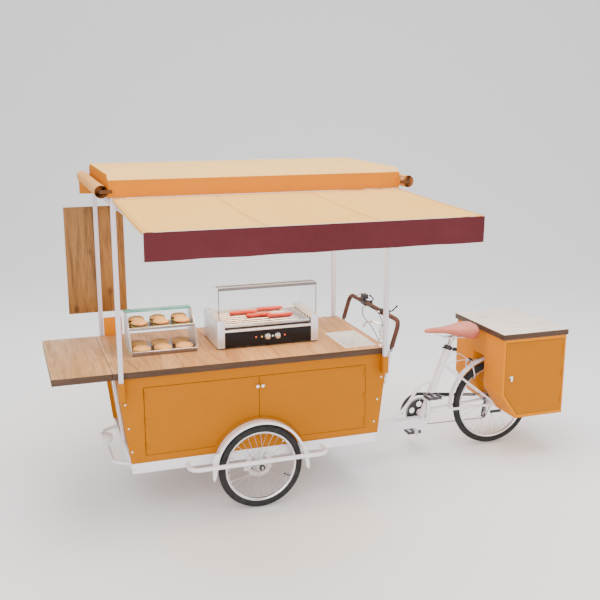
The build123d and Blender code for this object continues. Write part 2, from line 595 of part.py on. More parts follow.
with BuildPart() as derailleur:
    bar_y(1262, 182, 46.5, 51.5, 17.4)
    bar_y(1268, 228, 46.5, 51.5, 15)
    side_poly([(1246, 176), (1262, 164), (1280, 176), (1288, 232), (1272, 245), (1254, 236)], 52, 55.5)
    side_poly([(1256, 240), (1284, 228), (1300, 268), (1276, 272)], 63.2, 68.5)
    bar_y(1270, 238, 46.5, 66, 6)
    bar_y(1262, 182, 46.5, 55, 5)
save(derailleur, "derailleur")

with BuildPart() as chain_guard:
    with BuildSketch(Plane.XZ.offset(-66)):
        with Locations((BB_X, BB_Z)):
            Circle(134)
            Circle(113, mode=Mode.SUBTRACT)
        with Locations((BB_X - 80, BB_Z + 190)):
            Rectangle(160, 395, mode=Mode.INTERSECT)
    extrude(amount=6)
    side_poly([(BB_X - 1, BB_Z + 113), (BB_X - 1, BB_Z + 134), (1205, 343), (1205, 323)], 60, 66)
    block(BB_X + 38, BB_X + 62, 25.2, 62, BB_Z + 108, BB_Z + 120)
save(chain_guard, "chain_guard")

with BuildPart() as rear_fender:
    with BuildSketch(Plane.XZ):
        with Locations((RW_X, RW_R)):
            Circle(326)
            Circle(323, mode=Mode.SUBTRACT)
        with BuildLine():
            Polyline((RW_X, RW_R), (RW_X - 700, RW_R - 50), (RW_X - 700, RW_R + 700), (RW_X + 340, RW_R + 700), (RW_X + 340, RW_R + 60), close=True)
        make_face(mode=Mode.INTERSECT)
    extrude(amount=24, both=True)
save(rear_fender, "rear_fender")

with BuildPart() as rear_brake:
    # side-pull caliper over the fender, arms down to the rim
    for s in (-1, 1):
        tube([(1112, s * 6, 612), (1106, s * 36, 604), (1112, s * 48, 566), (1124, s * 44, 524), (1134, s * 29, 494)], 5.5, 20)
        block(1128, 1144, min(s * 18.5, s * 29), max(s * 18.5, s * 29), 486, 500)
    bar_x(0, 612, 1098, 1177.5, 6)
save(rear_brake, "rear_brake")

# ------------------------------------------------------------------ rear box
OUT = [(BOX_X0, BOX_Z1), (BOX_X1, BOX_Z1), (BOX_X1, BOX_Z0), (BOX_X0 + 109, BOX_Z0), (BOX_X0, BOX_Z0 + 166)]
t = BOX_T
INN = [(BOX_X0 + t, BOX_Z1 - t), (BOX_X1 - t, BOX_Z1 - t), (BOX_X1 - t, BOX_Z0 + t), (BOX_X0 + 116, BOX_Z0 + t), (BOX_X0 + t, BOX_Z0 + 170)]
DOOR = [(BOX_X0 + 16, BOX_Z1 - 24), (BOX_X1 - 12, BOX_Z1 - 24), (BOX_X1 - 12, BOX_Z0 + 22), (BOX_X0 + 122, BOX_Z0 + 22), (BOX_X0 + 16, BOX_Z0 + 176)]
with BuildPart() as rear_box:
    side_poly(OUT, -BOX_Y, BOX_Y)
    block(BOX_X0 - 1, BOX_X1 + 1, -73, 73, BOX_Z0 - 1, 655, mode=Mode.SUBTRACT)
    side_poly(INN, -BOX_Y + t, -85, mode=Mode.SUBTRACT)
    side_poly(INN, 85, BOX_Y - t, mode=Mode.SUBTRACT)
    block(BOX_X0 + t, BOX_X1 - t, -86, 86, 667, BOX_Z1 - t, mode=Mode.SUBTRACT)
    side_poly(DOOR, -BOX_Y - 1, -BOX_Y + t + 1, mode=Mode.SUBTRACT)
save(rear_box, "rear_box")

with BuildPart() as rear_box_lid:
    block(BOX_X0 - 14, 1654, -322, 322, BOX_Z1 + 0.2, BOX_Z1 + 38)
save(rear_box_lid, "rear_box_lid")

with BuildPart() as rear_box_door:
    with BuildSketch(Plane.XZ.offset(BOX_Y - t)):
        with BuildLine():
            Polyline(*DOOR, close=True)
        make_face()
        offset(amount=-2.5, kind=Kind.INTERSECTION)
    extrude(amount=t)
    for z in (380, 560, 740):
        bar_z(BOX_X1 - 20, -BOX_Y - 3, z - 22, z + 22, 5)
    bar_y(1236, 571, -BOX_Y - 6, -BOX_Y + 1, 11)
    bar_y(1236, 571, -BOX_Y - 7, -BOX_Y + t + 1, 5.1, mode=Mode.SUBTRACT)
save(rear_box_door, "rear_box_door")

with BuildPart() as rear_box_latch:
    bar_y(1236, 571, -BOX_Y - 16, -BOX_Y + t + 3, 5)
    block(1229, 1243, -BOX_Y - 16, -BOX_Y - 7, 545, 582)
    block(1198, 1241, -BOX_Y + t + 1, -BOX_Y + t + 3, 566, 576)
save(rear_box_latch, "rear_box_latch")

# ------------------------------------------------------------------ counter equipment
GX0, GX1, GY0, GY1, GZ0 = -681.0, -49.0, -152.0, 200.0, CAB_TOP + WT_T
with BuildPart() as grill_body:
    for x0, x1 in ((GX0, GX0 + 44), (GX1 - 44, GX1)):
        block(x0, x1, GY0, GY1, GZ0 + 8, GZ0 + 176)
        block(x0 + 6, x1 - 6, GY0 + 12, GY0 + 42, GZ0, GZ0 + 9)
        block(x0 + 6, x1 - 6, GY1 - 42, GY1 - 12, GZ0, GZ0 + 9)
    block(GX0 + 43, GX1 - 43, GY0 + 14, GY1, GZ0 + 10, GZ0 + 112)
    block(GX0 + 43, GX1 - 43, GY1 - 12, GY1, GZ0 + 10, GZ0 + 160)
    # sheet-metal shell, open underneath
    for x0, x1 in ((GX0, GX0 + 44), (GX1 - 44, GX1)):
        block(x0 + 2, x1 - 2, GY0 + 2, GY1 - 2, GZ0 + 7, GZ0 + 174, mode=Mode.SUBTRACT)
        for y in (GY0 + 27, GY1 - 27):
            block(x0 + 1, x1 - 1, y - 15, y + 15, GZ0, GZ0 + 10)
    block(GX0 + 46, GX1 - 46, GY0 + 16, GY1 - 2, GZ0 + 9, GZ0 + 110, mode=Mode.SUBTRACT)
    # control panel on the front
    block(GX0 + 44, GX1 - 44, GY0 + 5, GY0 + 15, GZ0 + 12, GZ0 + 100)
    for x in (-370, -307):
        bar_y(x, GZ0 + 58, GY0 + 4, GY0 + 14, 4.05, mode=Mode.SUBTRACT)
save(grill_body, "grill_body")

for x, side in ((-370, "left"), (-307, "right")):
    with BuildPart() as knob:
        bar_y(x, GZ0 + 58, GY0 - 9, GY0 + 4.5, 17)
        bar_y(x, GZ0 + 58, GY0 + 4, GY0 + 13, 4)
        block(x - 1.5, x + 1.5, GY0 - 11, GY0 - 8, GZ0 + 44, GZ0 + 72)
    save(knob, f"grill_knob_{side}")

ROLL_Y = [-124.0 + 46.0 * i for i in range(7)]
with BuildPart() as grill_rollers:
    for y in ROLL_Y:
        bar_x(y, GZ0 + 137, GX0 + 44.6, GX1 - 44.6, 12.5)
save(grill_rollers, "grill_rollers")

HOODP = [(-148, GZ0 + 177), (-148, GZ0 + 374), (-96, GZ0 + 381), (-20, GZ0 + 372), (60, GZ0 + 338), (126, GZ0 + 280), (170, GZ0 + 220), (188, GZ0 + 177)]
HOODI = [(-144, GZ0 + 176), (-144, GZ0 + 370), (-96, GZ0 + 377), (-21, GZ0 + 368), (58, GZ0 + 334), (123, GZ0 + 277), (166, GZ0 + 218), (184, GZ0 + 176)]
with BuildPart() as grill_hood:
    end_poly(HOODP, GX0 + 8, GX1 - 8)
    end_poly(HOODI, GX0 + 12, GX1 - 12, mode=Mode.SUBTRACT)
save(grill_hood, "grill_hood")

SX0, SX1, SZ = -1183.0, -797.0, CAB_TOP + WT_T
with BuildPart() as display_stand:
    for x in (SX0, SX1 - 3):
        end_poly([(-124, SZ), (132, SZ), (132, SZ + 205), (100, SZ + 226), (60, SZ + 226), (-52, SZ + 150), (-124, SZ + 36)], x, x + 3)
    block(SX0 + 2, SX1 - 2, -124, 132, SZ, SZ + 8)
    block(SX0 + 2, SX1 - 2, -124, -121, SZ, SZ + 24)
    block(SX0 + 2, SX1 - 2, -58, 132, SZ + 138, SZ + 141)
    block(SX0 + 2, SX1 - 2, -58, -55, SZ + 138, SZ + 152)
    block(SX0 + 2, SX1 - 2, 56, 106, SZ + 220, SZ + 226)
save(display_stand, "display_stand")

with BuildPart() as display_food:
    for x in (-1117, -990, -863):
        for y, z, r in ((-62, SZ + 8, 56), (56, SZ + 8, 56), (-4.5, SZ + 141, 50), (97, SZ + 141, 50)):
            bar_z(x, y, z, z + 46, r)
    for x0, x1, y in ((-536, -380, 83), (-344, -200, 129), (-456, -320, -9), (-332, -192, -55)):
        bar_x(y, GZ0 + 161.6, x0, x1, 12)
        for x in (x0, x1):
            with Locations((x, y, GZ0 + 161.6)):
                Sphere(12)
save(display_food, "display_food")
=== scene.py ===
import json
import math
import random

import bmesh
import bpy
from mathutils import Matrix, Vector


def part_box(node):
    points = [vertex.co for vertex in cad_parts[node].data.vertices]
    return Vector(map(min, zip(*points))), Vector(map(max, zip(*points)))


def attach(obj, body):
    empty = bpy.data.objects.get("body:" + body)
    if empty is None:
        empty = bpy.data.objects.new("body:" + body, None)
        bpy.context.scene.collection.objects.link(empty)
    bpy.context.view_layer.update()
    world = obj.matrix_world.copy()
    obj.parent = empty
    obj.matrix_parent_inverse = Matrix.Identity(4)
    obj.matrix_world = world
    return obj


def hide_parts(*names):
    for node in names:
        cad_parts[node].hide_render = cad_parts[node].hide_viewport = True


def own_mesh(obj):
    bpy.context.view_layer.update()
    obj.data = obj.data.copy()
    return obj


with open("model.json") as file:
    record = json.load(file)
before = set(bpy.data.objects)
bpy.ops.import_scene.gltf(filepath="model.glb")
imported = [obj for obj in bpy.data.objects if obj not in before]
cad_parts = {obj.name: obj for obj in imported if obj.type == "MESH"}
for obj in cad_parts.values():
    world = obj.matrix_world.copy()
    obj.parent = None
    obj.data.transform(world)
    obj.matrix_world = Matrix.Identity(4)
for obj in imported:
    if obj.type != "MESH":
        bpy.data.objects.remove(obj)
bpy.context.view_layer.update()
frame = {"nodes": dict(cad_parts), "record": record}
N = frame["nodes"]
pi = math.pi

# ------------------------------------------------------------------ camera, floor, light
cam = bpy.data.objects.new("camera", bpy.data.cameras.new("camera"))
bpy.context.scene.collection.objects.link(cam)
fwd = Vector((0.318, 0.921, -0.2253)).normalized()
right = Vector((0.945, -0.326, 0.0))
right = (right - fwd * right.dot(fwd)).normalized()
up = (-fwd).cross(right)
cam.matrix_world = Matrix.Translation((-1.864, -5.0697, 2.363)) @ Matrix((right, up, -fwd)).transposed().to_4x4()
cam.data.lens, cam.data.sensor_width = 52.98, 36.0
cam.data.clip_end = 100
bpy.context.scene.camera = cam


# ------------------------------------------------------------------ material kit
def nt_of(name):
    m = bpy.data.materials.new(name)
    m.use_nodes = True
    nt = m.node_tree
    return m, nt, nt.nodes["Principled BSDF"]


class Mat:
    """A Principled material whose colour, roughness and bump come from layered textures on object coordinates."""

    def __init__(self, name, base, rough=0.5, metal=0.0, spec=0.5, coat=0.0, coat_rough=0.1, sheen=0.0, trans=0.0, ior=1.45, alpha=1.0):
        self.m, self.nt, self.b = nt_of(name)
        n = self.nt.nodes
        self.coord = n.new("ShaderNodeTexCoord")
        b = self.b
        b.inputs["Base Color"].default_value = (*base, 1)
        b.inputs["Roughness"].default_value = rough
        b.inputs["Metallic"].default_value = metal
        b.inputs["Specular IOR Level"].default_value = spec
        b.inputs["Coat Weight"].default_value = coat
        b.inputs["Coat Roughness"].default_value = coat_rough
        b.inputs["Sheen Weight"].default_value = sheen
        b.inputs["Transmission Weight"].default_value = trans
        b.inputs["IOR"].default_value = ior
        b.inputs["Alpha"].default_value = alpha
        self.col, self.rgh, self.nrm = base, rough, None

    def link(self, a, b):
        self.nt.links.new(a, b)

    def vec(self, scale=(1, 1, 1), rot=(0, 0, 0)):
        mp = self.nt.nodes.new("ShaderNodeMapping")
        mp.inputs["Scale"].default_value = scale
        mp.inputs["Rotation"].default_value = rot
        self.link(self.coord.outputs["Object"], mp.inputs["Vector"])
        return mp.outputs["Vector"]

    def noise(self, scale, detail=4, rough=0.55, dist=0.0, rot=(0, 0, 0)):
        t = self.nt.nodes.new("ShaderNodeTexNoise")
        t.inputs["Scale"].default_value = 1.0
        t.inputs["Detail"].default_value = detail
        t.inputs["Roughness"].default_value = rough
        t.inputs["Distortion"].default_value = dist
        s = scale if hasattr(scale, "__len__") else (scale,) * 3
        self.link(self.vec(s, rot), t.inputs["Vector"])
        return t.outputs["Fac"]

    def wave(self, scale, axis="X", dist=0.0, kind="BANDS", rot=(0, 0, 0), profile="SIN"):
        t = self.nt.nodes.new("ShaderNodeTexWave")
        t.wave_type, t.wave_profile = kind, profile
        t.bands_direction = axis
        t.inputs["Scale"].default_value = scale
        t.inputs["Distortion"].default_value = dist
        t.inputs["Detail"].default_value = 2
        self.link(self.vec((1, 1, 1), rot), t.inputs["Vector"])
        return t.outputs["Fac"]

    def cells(self, scale, feature="F1"):
        t = self.nt.nodes.new("ShaderNodeTexVoronoi")
        t.feature = feature
        t.inputs["Scale"].default_value = 1.0
        s = scale if hasattr(scale, "__len__") else (scale,) * 3
        self.link(self.vec(s), t.inputs["Vector"])
        return t.outputs["Distance"]

    def ramp(self, fac, lo, hi, a=0.0, b=1.0):
        r = self.nt.nodes.new("ShaderNodeMapRange")
        r.clamp = True
        for k, v in (("From Min", lo), ("From Max", hi), ("To Min", a), ("To Max", b)):
            r.inputs[k].default_value = v
        self.link(fac, r.inputs["Value"])
        return r.outputs["Result"]

    def mul(self, a, b, op="MULTIPLY"):
        r = self.nt.nodes.new("ShaderNodeMath")
        r.operation = op
        for i, v in enumerate((a, b)):
            if hasattr(v, "links"):
                self.link(v, r.inputs[i])
            else:
                r.inputs[i].default_value = v
        return r.outputs[0]

    def tint(self, fac, colour):
        """Mixes the colour so far towards colour, by fac."""
        x = self.nt.nodes.new("ShaderNodeMix")
        x.data_type = "RGBA"
        self.link(fac, x.inputs["Factor"])
        if hasattr(self.col, "links"):
            self.link(self.col, x.inputs["A"])
        else:
            x.inputs["A"].default_value = (*self.col, 1)
        x.inputs["B"].default_value = (*colour, 1)
        self.col = x.outputs["Result"]
        self.link(self.col, self.b.inputs["Base Color"])
        return self

    def roughen(self, fac, lo, hi):
        self.link(self.ramp(fac, 0.3, 0.7, lo, hi), self.b.inputs["Roughness"])
        return self

    def bump(self, fac, depth, strength=1.0):
        k = self.nt.nodes.new("ShaderNodeBump")
        k.inputs["Strength"].default_value = strength
        k.inputs["Distance"].default_value = depth
        self.link(fac, k.inputs["Height"])
        if self.nrm is not None:
            self.link(self.nrm, k.inputs["Normal"])
        self.nrm = k.outputs["Normal"]
        self.link(self.nrm, self.b.inputs["Normal"])
        return self


def paint(name, base, dark, light, rough=0.32, coat=0.25, spec=0.5):
    m = Mat(name, base, rough, spec=spec, coat=coat, coat_rough=0.12)
    m.tint(m.ramp(m.noise(2.2, 5), 0.45, 0.75, 0, 0.45), light)
    m.tint(m.ramp(m.noise(9, 6), 0.5, 0.8, 0, 0.30), dark)
    m.roughen(m.noise(30, 5), rough - 0.06, rough + 0.12)
    m.bump(m.noise(420, 3), 0.00025, 0.35)
    m.bump(m.noise(14, 3), 0.0006, 0.25)
    return m


def metal(name, base, rough, dirs=(1, 1, 1), brush=900.0, spread=0.1):
    m = Mat(name, base, rough, metal=1.0)
    s = tuple(brush * d for d in dirs)
    m.roughen(m.noise(s, 3), max(0.04, rough - spread), rough + spread)
    m.tint(m.ramp(m.noise(26, 5), 0.45, 0.8, 0, 0.25), tuple(c * 0.72 for c in base))
    m.bump(m.noise(s, 3), 0.0002, 0.25)
    return m


def wood(name, base, dark, light, along="Y", planks=True):
    ax = {"X": (1.1, 13, 13), "Y": (13, 1.1, 13), "Z": (13, 13, 1.1)}[along]
    m = Mat(name, base, 0.45, spec=0.22)
    wide = m.noise(tuple(a * 0.55 for a in ax), 3, 0.6, 0.4)
    mid = m.noise(tuple(a * 2.2 for a in ax), 6, 0.62, 0.9)
    fine = m.noise(tuple(a * 11 for a in ax), 4, 0.6)
    pores = m.noise(tuple(a * 34 for a in ax), 2, 0.5)
    m.tint(m.ramp(wide, 0.36, 0.66), light)
    m.tint(m.ramp(mid, 0.46, 0.70, 0, 0.75), dark)
    m.tint(m.ramp(fine, 0.50, 0.72, 0, 0.45), tuple(c * 0.8 for c in dark))
    m.tint(m.ramp(pores, 0.60, 0.70, 0, 0.30), tuple(c * 0.6 for c in dark))
    m.roughen(mid, 0.36, 0.52)
    m.bump(fine, 0.0004, 0.35)
    m.bump(pores, 0.0003, 0.4)
    return m


ORANGE = paint("orange_paint", (0.455, 0.150, 0.002), (0.405, 0.128, 0.001), (0.495, 0.168, 0.003), 0.52, 0.0, 0.10)
# painted light: a lighter copy of the same orange paint, for the rear box and splash guard faces that catch more light
ORANGE_LIT = paint("orange_paint_painted_light", (0.66, 0.215, 0.003), (0.59, 0.187, 0.002), (0.71, 0.238, 0.004), 0.52, 0.0, 0.10)
WHITE = paint("white_enamel", (0.90, 0.87, 0.93), (0.79, 0.76, 0.84), (0.93, 0.91, 0.95), 0.28, 0.4)
WOOD = wood("worktop_laminate", (0.52, 0.285, 0.120), (0.29, 0.140, 0.054), (0.68, 0.430, 0.225), "Y")
LIDWOOD = wood("lid_laminate", (0.90, 0.77, 0.66), (0.58, 0.43, 0.34), (0.95, 0.86, 0.78), "X")
EDGE = wood("worktop_edge_band", (0.075, 0.040, 0.023), (0.050, 0.026, 0.015), (0.100, 0.056, 0.034), "X")
OAK = wood("oak_board", (0.27, 0.120, 0.030), (0.125, 0.046, 0.012), (0.38, 0.185, 0.058), "Z")
OAK.tint(OAK.ramp(OAK.noise((70, 70, 3.2), 4, 0.6, 0.6), 0.52, 0.64, 0, 0.55), (0.100, 0.040, 0.014))
OAK.tint(OAK.ramp(OAK.cells((5.5, 5.5, 3.4)), 0.13, 0.04, 0, 0.85), (0.075, 0.030, 0.012))
STEEL = metal("brushed_steel", (0.83, 0.85, 0.91), 0.34, (0.05, 1, 1), 1400)
STEEL.b.inputs["Metallic"].default_value = 0.62
DARKSTEEL = metal("dark_steel", (0.10, 0.085, 0.10), 0.36, (1, 1, 1), 600)
CHROME = metal("bright_chrome", (0.86, 0.86, 0.88), 0.10, (1, 1, 1), 300, 0.05)
ALLOY = metal("wheel_alloy", (0.78, 0.78, 0.80), 0.26, (1, 1, 1), 500)
SPOKE = metal("spoke_steel", (0.62, 0.62, 0.64), 0.22, (1, 1, 1), 500)
BLACK = paint("black_enamel", (0.022, 0.022, 0.024), (0.012, 0.012, 0.013), (0.04, 0.04, 0.043), 0.38, 0.1)
# painted shade: the white posts' enamel is darkened to a lavender grey for their shaded sides
POST_SHADE = paint("post_enamel_painted_shade", (0.70, 0.64, 0.73), (0.58, 0.52, 0.62), (0.78, 0.73, 0.81), 0.34, 0.1, 0.4)
CERAMIC = paint("sink_white", (0.80, 0.83, 0.87), (0.70, 0.74, 0.80), (0.88, 0.89, 0.91), 0.18, 0.5)

PLASTIC = Mat("black_plastic", (0.022, 0.022, 0.024), 0.52)
PLASTIC.tint(PLASTIC.ramp(PLASTIC.noise(60, 5), 0.5, 0.8, 0, 0.4), (0.06, 0.06, 0.063))
PLASTIC.bump(PLASTIC.cells(1500), 0.0002, 0.5)

RUBBER = Mat("tyre_rubber", (0.020, 0.019, 0.020), 0.78, spec=0.35)
RUBBER.tint(RUBBER.ramp(RUBBER.noise(38, 6), 0.45, 0.75, 0, 0.6), (0.045, 0.042, 0.042))
RUBBER.tint(RUBBER.ramp(RUBBER.noise(240, 4), 0.55, 0.75, 0, 0.3), (0.085, 0.08, 0.078))
RUBBER.bump(RUBBER.noise(700, 3), 0.0004, 0.5)

LEATHER = Mat("wrap_leather", (0.085, 0.028, 0.018), 0.52, spec=0.35)
LEATHER.tint(LEATHER.ramp(LEATHER.noise(55, 5), 0.45, 0.75, 0, 0.6), (0.045, 0.016, 0.011))
LEATHER.tint(LEATHER.ramp(LEATHER.noise(18, 4), 0.5, 0.8, 0, 0.5), (0.140, 0.052, 0.034))
LEATHER.bump(LEATHER.cells(620), 0.0006, 0.6)
LEATHER.bump(LEATHER.noise(160, 4), 0.0008, 0.4)

SADDLE = Mat("saddle_leather", (0.64, 0.19, 0.125), 0.34, coat=0.12, coat_rough=0.2)
SADDLE.tint(SADDLE.ramp(SADDLE.noise(9, 4), 0.42, 0.72, 0, 0.6), (0.78, 0.29, 0.21))
SADDLE.tint(SADDLE.ramp(SADDLE.noise(34, 5), 0.5, 0.75, 0, 0.45), (0.46, 0.115, 0.072))
# painted shade: the saddle leather is darkened towards its lower edge, by height
saddle_shade_z = SADDLE.nt.nodes.new("ShaderNodeSeparateXYZ")
SADDLE.link(SADDLE.vec(), saddle_shade_z.inputs[0])
SADDLE.tint(SADDLE.ramp(saddle_shade_z.outputs["Z"], 0.866, 0.815, 0, 0.9), (0.42, 0.085, 0.048))
SADDLE.roughen(SADDLE.noise(40, 4), 0.30, 0.46)
SADDLE.bump(SADDLE.cells(520), 0.0005, 0.5)
SADDLE.bump(SADDLE.noise(120, 4), 0.0006, 0.4)


def cloth_mat(name, base, dark, light, pitch=900.0, rough=0.85, sheen=0.0, trans=0.0):
    m = Mat(name, base, rough, spec=0.1, sheen=sheen)
    m.tint(m.ramp(m.noise(1.7, 4), 0.40, 0.70, 0, 0.55), light)
    m.tint(m.ramp(m.noise(7, 6), 0.48, 0.78, 0, 0.40), dark)
    m.tint(m.ramp(m.noise((pitch * 0.5, 6, 6), 2), 0.52, 0.74, 0, 0.22), dark)
    warp = m.wave(pitch * 0.16, "X")
    weft = m.wave(pitch * 0.16, "Y")
    m.bump(m.mul(warp, weft, "MAXIMUM"), 0.0005, 0.5)
    m.bump(m.noise(12, 4), 0.004, 0.22)
    return m


# partly painted highlight: the canvas's orange is lifted to a pale orange to paint in the light on its sunlit top
AWNING_LIT = cloth_mat("awning_canvas_painted_highlight", (0.97, 0.52, 0.125), (0.91, 0.455, 0.092), (0.98, 0.57, 0.165))
AWNEDGE = cloth_mat("awning_hem", (0.62, 0.22, 0.028), (0.55, 0.18, 0.02), (0.68, 0.26, 0.04))
ROOF = cloth_mat("roof_canvas", (0.62, 0.205, 0.004), (0.55, 0.175, 0.003), (0.68, 0.235, 0.007))
# painted highlight: a pale copy of the roof canvas for its up-facing top, where the light falls
ROOFTOP_HIGHLIGHT = cloth_mat("roof_canvas_painted_highlight", (0.97, 0.56, 0.175), (0.91, 0.49, 0.135), (0.98, 0.61, 0.22))
BLIND = cloth_mat("blind_canvas", (0.74, 0.36, 0.115), (0.62, 0.27, 0.075), (0.82, 0.44, 0.17))
HANGER = paint("hanger_brown", (0.120, 0.042, 0.010), (0.085, 0.028, 0.006), (0.16, 0.06, 0.016), 0.5, 0.0, 0.2)
MAROON = cloth_mat("valance_canvas", (0.100, 0.020, 0.024), (0.072, 0.013, 0.016), (0.125, 0.027, 0.033))
THREAD = cloth_mat("seam_thread", (0.62, 0.30, 0.07), (0.5, 0.22, 0.05), (0.7, 0.38, 0.1), 2400)

GLASS = Mat("clear_glass", (0.96, 0.98, 0.98), 0.02, trans=1.0, ior=1.08, coat=0.0, alpha=0.12)
GLASS.roughen(GLASS.noise(8, 4), 0.02, 0.07)
GLASS.bump(GLASS.noise(5, 3), 0.0004, 0.15)
TEAL = Mat("teal_glass", (0.16, 0.66, 0.60), 0.08, trans=0.5, ior=1.4, coat=0.4)
TEAL.tint(TEAL.ramp(TEAL.noise(14, 4), 0.4, 0.7, 0, 0.6), (0.45, 0.86, 0.80))
TEAL.roughen(TEAL.noise(30, 4), 0.05, 0.16)

RAILGREY = paint("hood_rail_grey", (0.17, 0.155, 0.17), (0.12, 0.11, 0.12), (0.22, 0.20, 0.22), 0.35, 0.1, 0.4)
PANELBLK = paint("control_panel_black", (0.010, 0.009, 0.010), (0.005, 0.005, 0.006), (0.018, 0.017, 0.018), 0.42, 0.03, 0.2)
WHITEPART = paint("white_plastic", (0.83, 0.83, 0.84), (0.72, 0.72, 0.74), (0.88, 0.88, 0.88), 0.4, 0.1)


def lamp_mat(name, base, glow):
    m = Mat(name, base, 0.18, coat=0.4)
    m.tint(m.ramp(m.cells(500), 0.1, 0.6, 0, 0.3), tuple(min(1, c * 1.5) for c in base))
    m.b.inputs["Emission Color"].default_value = (*base, 1)
    m.b.inputs["Emission Strength"].default_value = glow
    return m


RED_LAMP = lamp_mat("lamp_red", (0.85, 0.10, 0.04), 0.6)
AMBER_LAMP = lamp_mat("lamp_amber", (0.95, 0.55, 0.12), 0.6)
WHITE_LAMP = lamp_mat("lamp_white", (0.92, 0.90, 0.82), 0.4)

BUN = Mat("bun_crust", (0.84, 0.44, 0.140), 0.50, spec=0.25)
BUN.tint(BUN.ramp(BUN.noise(28, 5), 0.42, 0.72, 0, 0.75), (0.94, 0.62, 0.28))
BUN.tint(BUN.ramp(BUN.noise(70, 5), 0.55, 0.78, 0, 0.6), (0.52, 0.19, 0.040))
BUN.bump(BUN.noise(150, 5), 0.0015, 0.5)
CRUMB = Mat("bun_crumb", (0.86, 0.68, 0.42), 0.85)
CRUMB.tint(CRUMB.ramp(CRUMB.noise(90, 5), 0.45, 0.7), (0.72, 0.48, 0.24))
CRUMB.bump(CRUMB.cells(380), 0.002, 0.6)
SEED = Mat("sesame_seed", (0.90, 0.78, 0.55), 0.5)
SEED.tint(SEED.ramp(SEED.noise(500, 3), 0.4, 0.7), (0.78, 0.62, 0.38))
LEAF = Mat("salad_leaf", (0.26, 0.46, 0.075), 0.45, coat=0.1)
LEAF.tint(LEAF.ramp(LEAF.noise(60, 5), 0.4, 0.7), (0.56, 0.70, 0.24))
LEAF.bump(LEAF.noise(130, 4), 0.002, 0.7)
PATTY = Mat("grilled_patty", (0.15, 0.062, 0.030), 0.6)
PATTY.tint(PATTY.ramp(PATTY.noise(110, 5), 0.45, 0.7), (0.27, 0.12, 0.055))
PATTY.bump(PATTY.cells(260), 0.003, 0.8)
TOMATO = Mat("tomato_slice", (0.62, 0.075, 0.035), 0.3, coat=0.3)
TOMATO.tint(TOMATO.ramp(TOMATO.noise(80, 4), 0.45, 0.7, 0, 0.6), (0.80, 0.20, 0.085))
SAUSAGE = Mat("sausage_skin", (0.66, 0.055, 0.035), 0.34, spec=0.3, coat=0.15, coat_rough=0.2)
SAUSAGE.tint(SAUSAGE.ramp(SAUSAGE.noise((14, 60, 60), 4), 0.42, 0.72, 0, 0.7), (0.80, 0.13, 0.08))
SAUSAGE.tint(SAUSAGE.ramp(SAUSAGE.noise(75, 5), 0.55, 0.8, 0, 0.6), (0.38, 0.028, 0.016))
SAUSAGE.bump(SAUSAGE.noise(90, 4), 0.0012, 0.4)
TANKM = Mat("tank_plastic", (0.80, 0.83, 0.86), 0.35)
TANKM.tint(TANKM.ramp(TANKM.noise(10, 4), 0.4, 0.7, 0, 0.4), (0.65, 0.70, 0.76))
TANKM.bump(TANKM.noise(200, 3), 0.0004, 0.3)
CABLE = Mat("cable_sheath", (0.018, 0.018, 0.02), 0.42)
CABLE.tint(CABLE.ramp(CABLE.noise(90, 4), 0.5, 0.75, 0, 0.4), (0.06, 0.06, 0.065))
CABLE.bump(CABLE.noise(900, 3), 0.0002, 0.4)
SEAM = Mat("panel_seam", (0.090, 0.026, 0.004), 0.7, spec=0.1)
SEAM.tint(SEAM.ramp(SEAM.noise(120, 4), 0.45, 0.7), (0.14, 0.042, 0.006))
LENS = Mat("lens_glass", (0.36, 0.29, 0.31), 0.16, coat=0.3)
LENS.tint(LENS.ramp(LENS.cells((10, 260, 260)), 0.2, 0.7, 0, 0.5), (0.50, 0.42, 0.44))
LENS.bump(LENS.cells((10, 260, 260)), 0.0010, 0.5)


# ------------------------------------------------------------------ mesh kit
def finish_piece(o, body, mats, replaces=(), angle=38.0):
    me = o.data
    if o.type == "MESH":
        for p in me.polygons:
            p.use_smooth = True
        me.set_sharp_from_angle(angle=math.radians(angle))
    for m in (mats if isinstance(mats, (list, tuple)) else [mats]):
        me.materials.append(m.m)
    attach(o, body)
    if replaces:
        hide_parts(*replaces)
    return o


def piece(name, bm, body, mats, replaces=(), angle=38.0, recalc=True):
    if recalc:
        bmesh.ops.recalc_face_normals(bm, faces=bm.faces)
    me = bpy.data.meshes.new(name)
    bm.to_mesh(me)
    bm.free()
    o = bpy.data.objects.new(name, me)
    bpy.context.scene.collection.objects.link(o)
    return finish_piece(o, body, mats, replaces, angle)


def body_of(node):
    for b, ns in frame["record"]["behaviour"]["bodies"].items():
        if node in ns:
            return b


def soften(node, mats, width=0.0015, segs=2, pick=None, keep=None, also=()):
    """A finer copy of a CAD node: true edges are rounded, and faces take materials by pick(centre, normal)."""
    bm = bmesh.new()
    bm.from_mesh(N[node].data)
    bmesh.ops.remove_doubles(bm, verts=bm.verts, dist=1e-5)
    bmesh.ops.dissolve_limit(bm, angle_limit=math.radians(0.6), verts=bm.verts, edges=bm.edges)
    if keep:
        gone = [f for f in bm.faces if not keep(f.calc_center_median())]
        bmesh.ops.delete(bm, geom=gone, context="FACES")
    if width:
        edges = [e for e in bm.edges if len(e.link_faces) == 2 and e.calc_face_angle(0) > math.radians(32)]
        bmesh.ops.bevel(bm, geom=edges, offset=width, segments=segs, profile=0.5, affect="EDGES", clamp_overlap=True)
    mats = mats if isinstance(mats, (list, tuple)) else [mats]
    if pick:
        for f in bm.faces:
            f.material_index = pick(f.calc_center_median(), f.normal)
    return piece(node + "_skin", bm, body_of(node), mats, (node, *also), recalc=False)


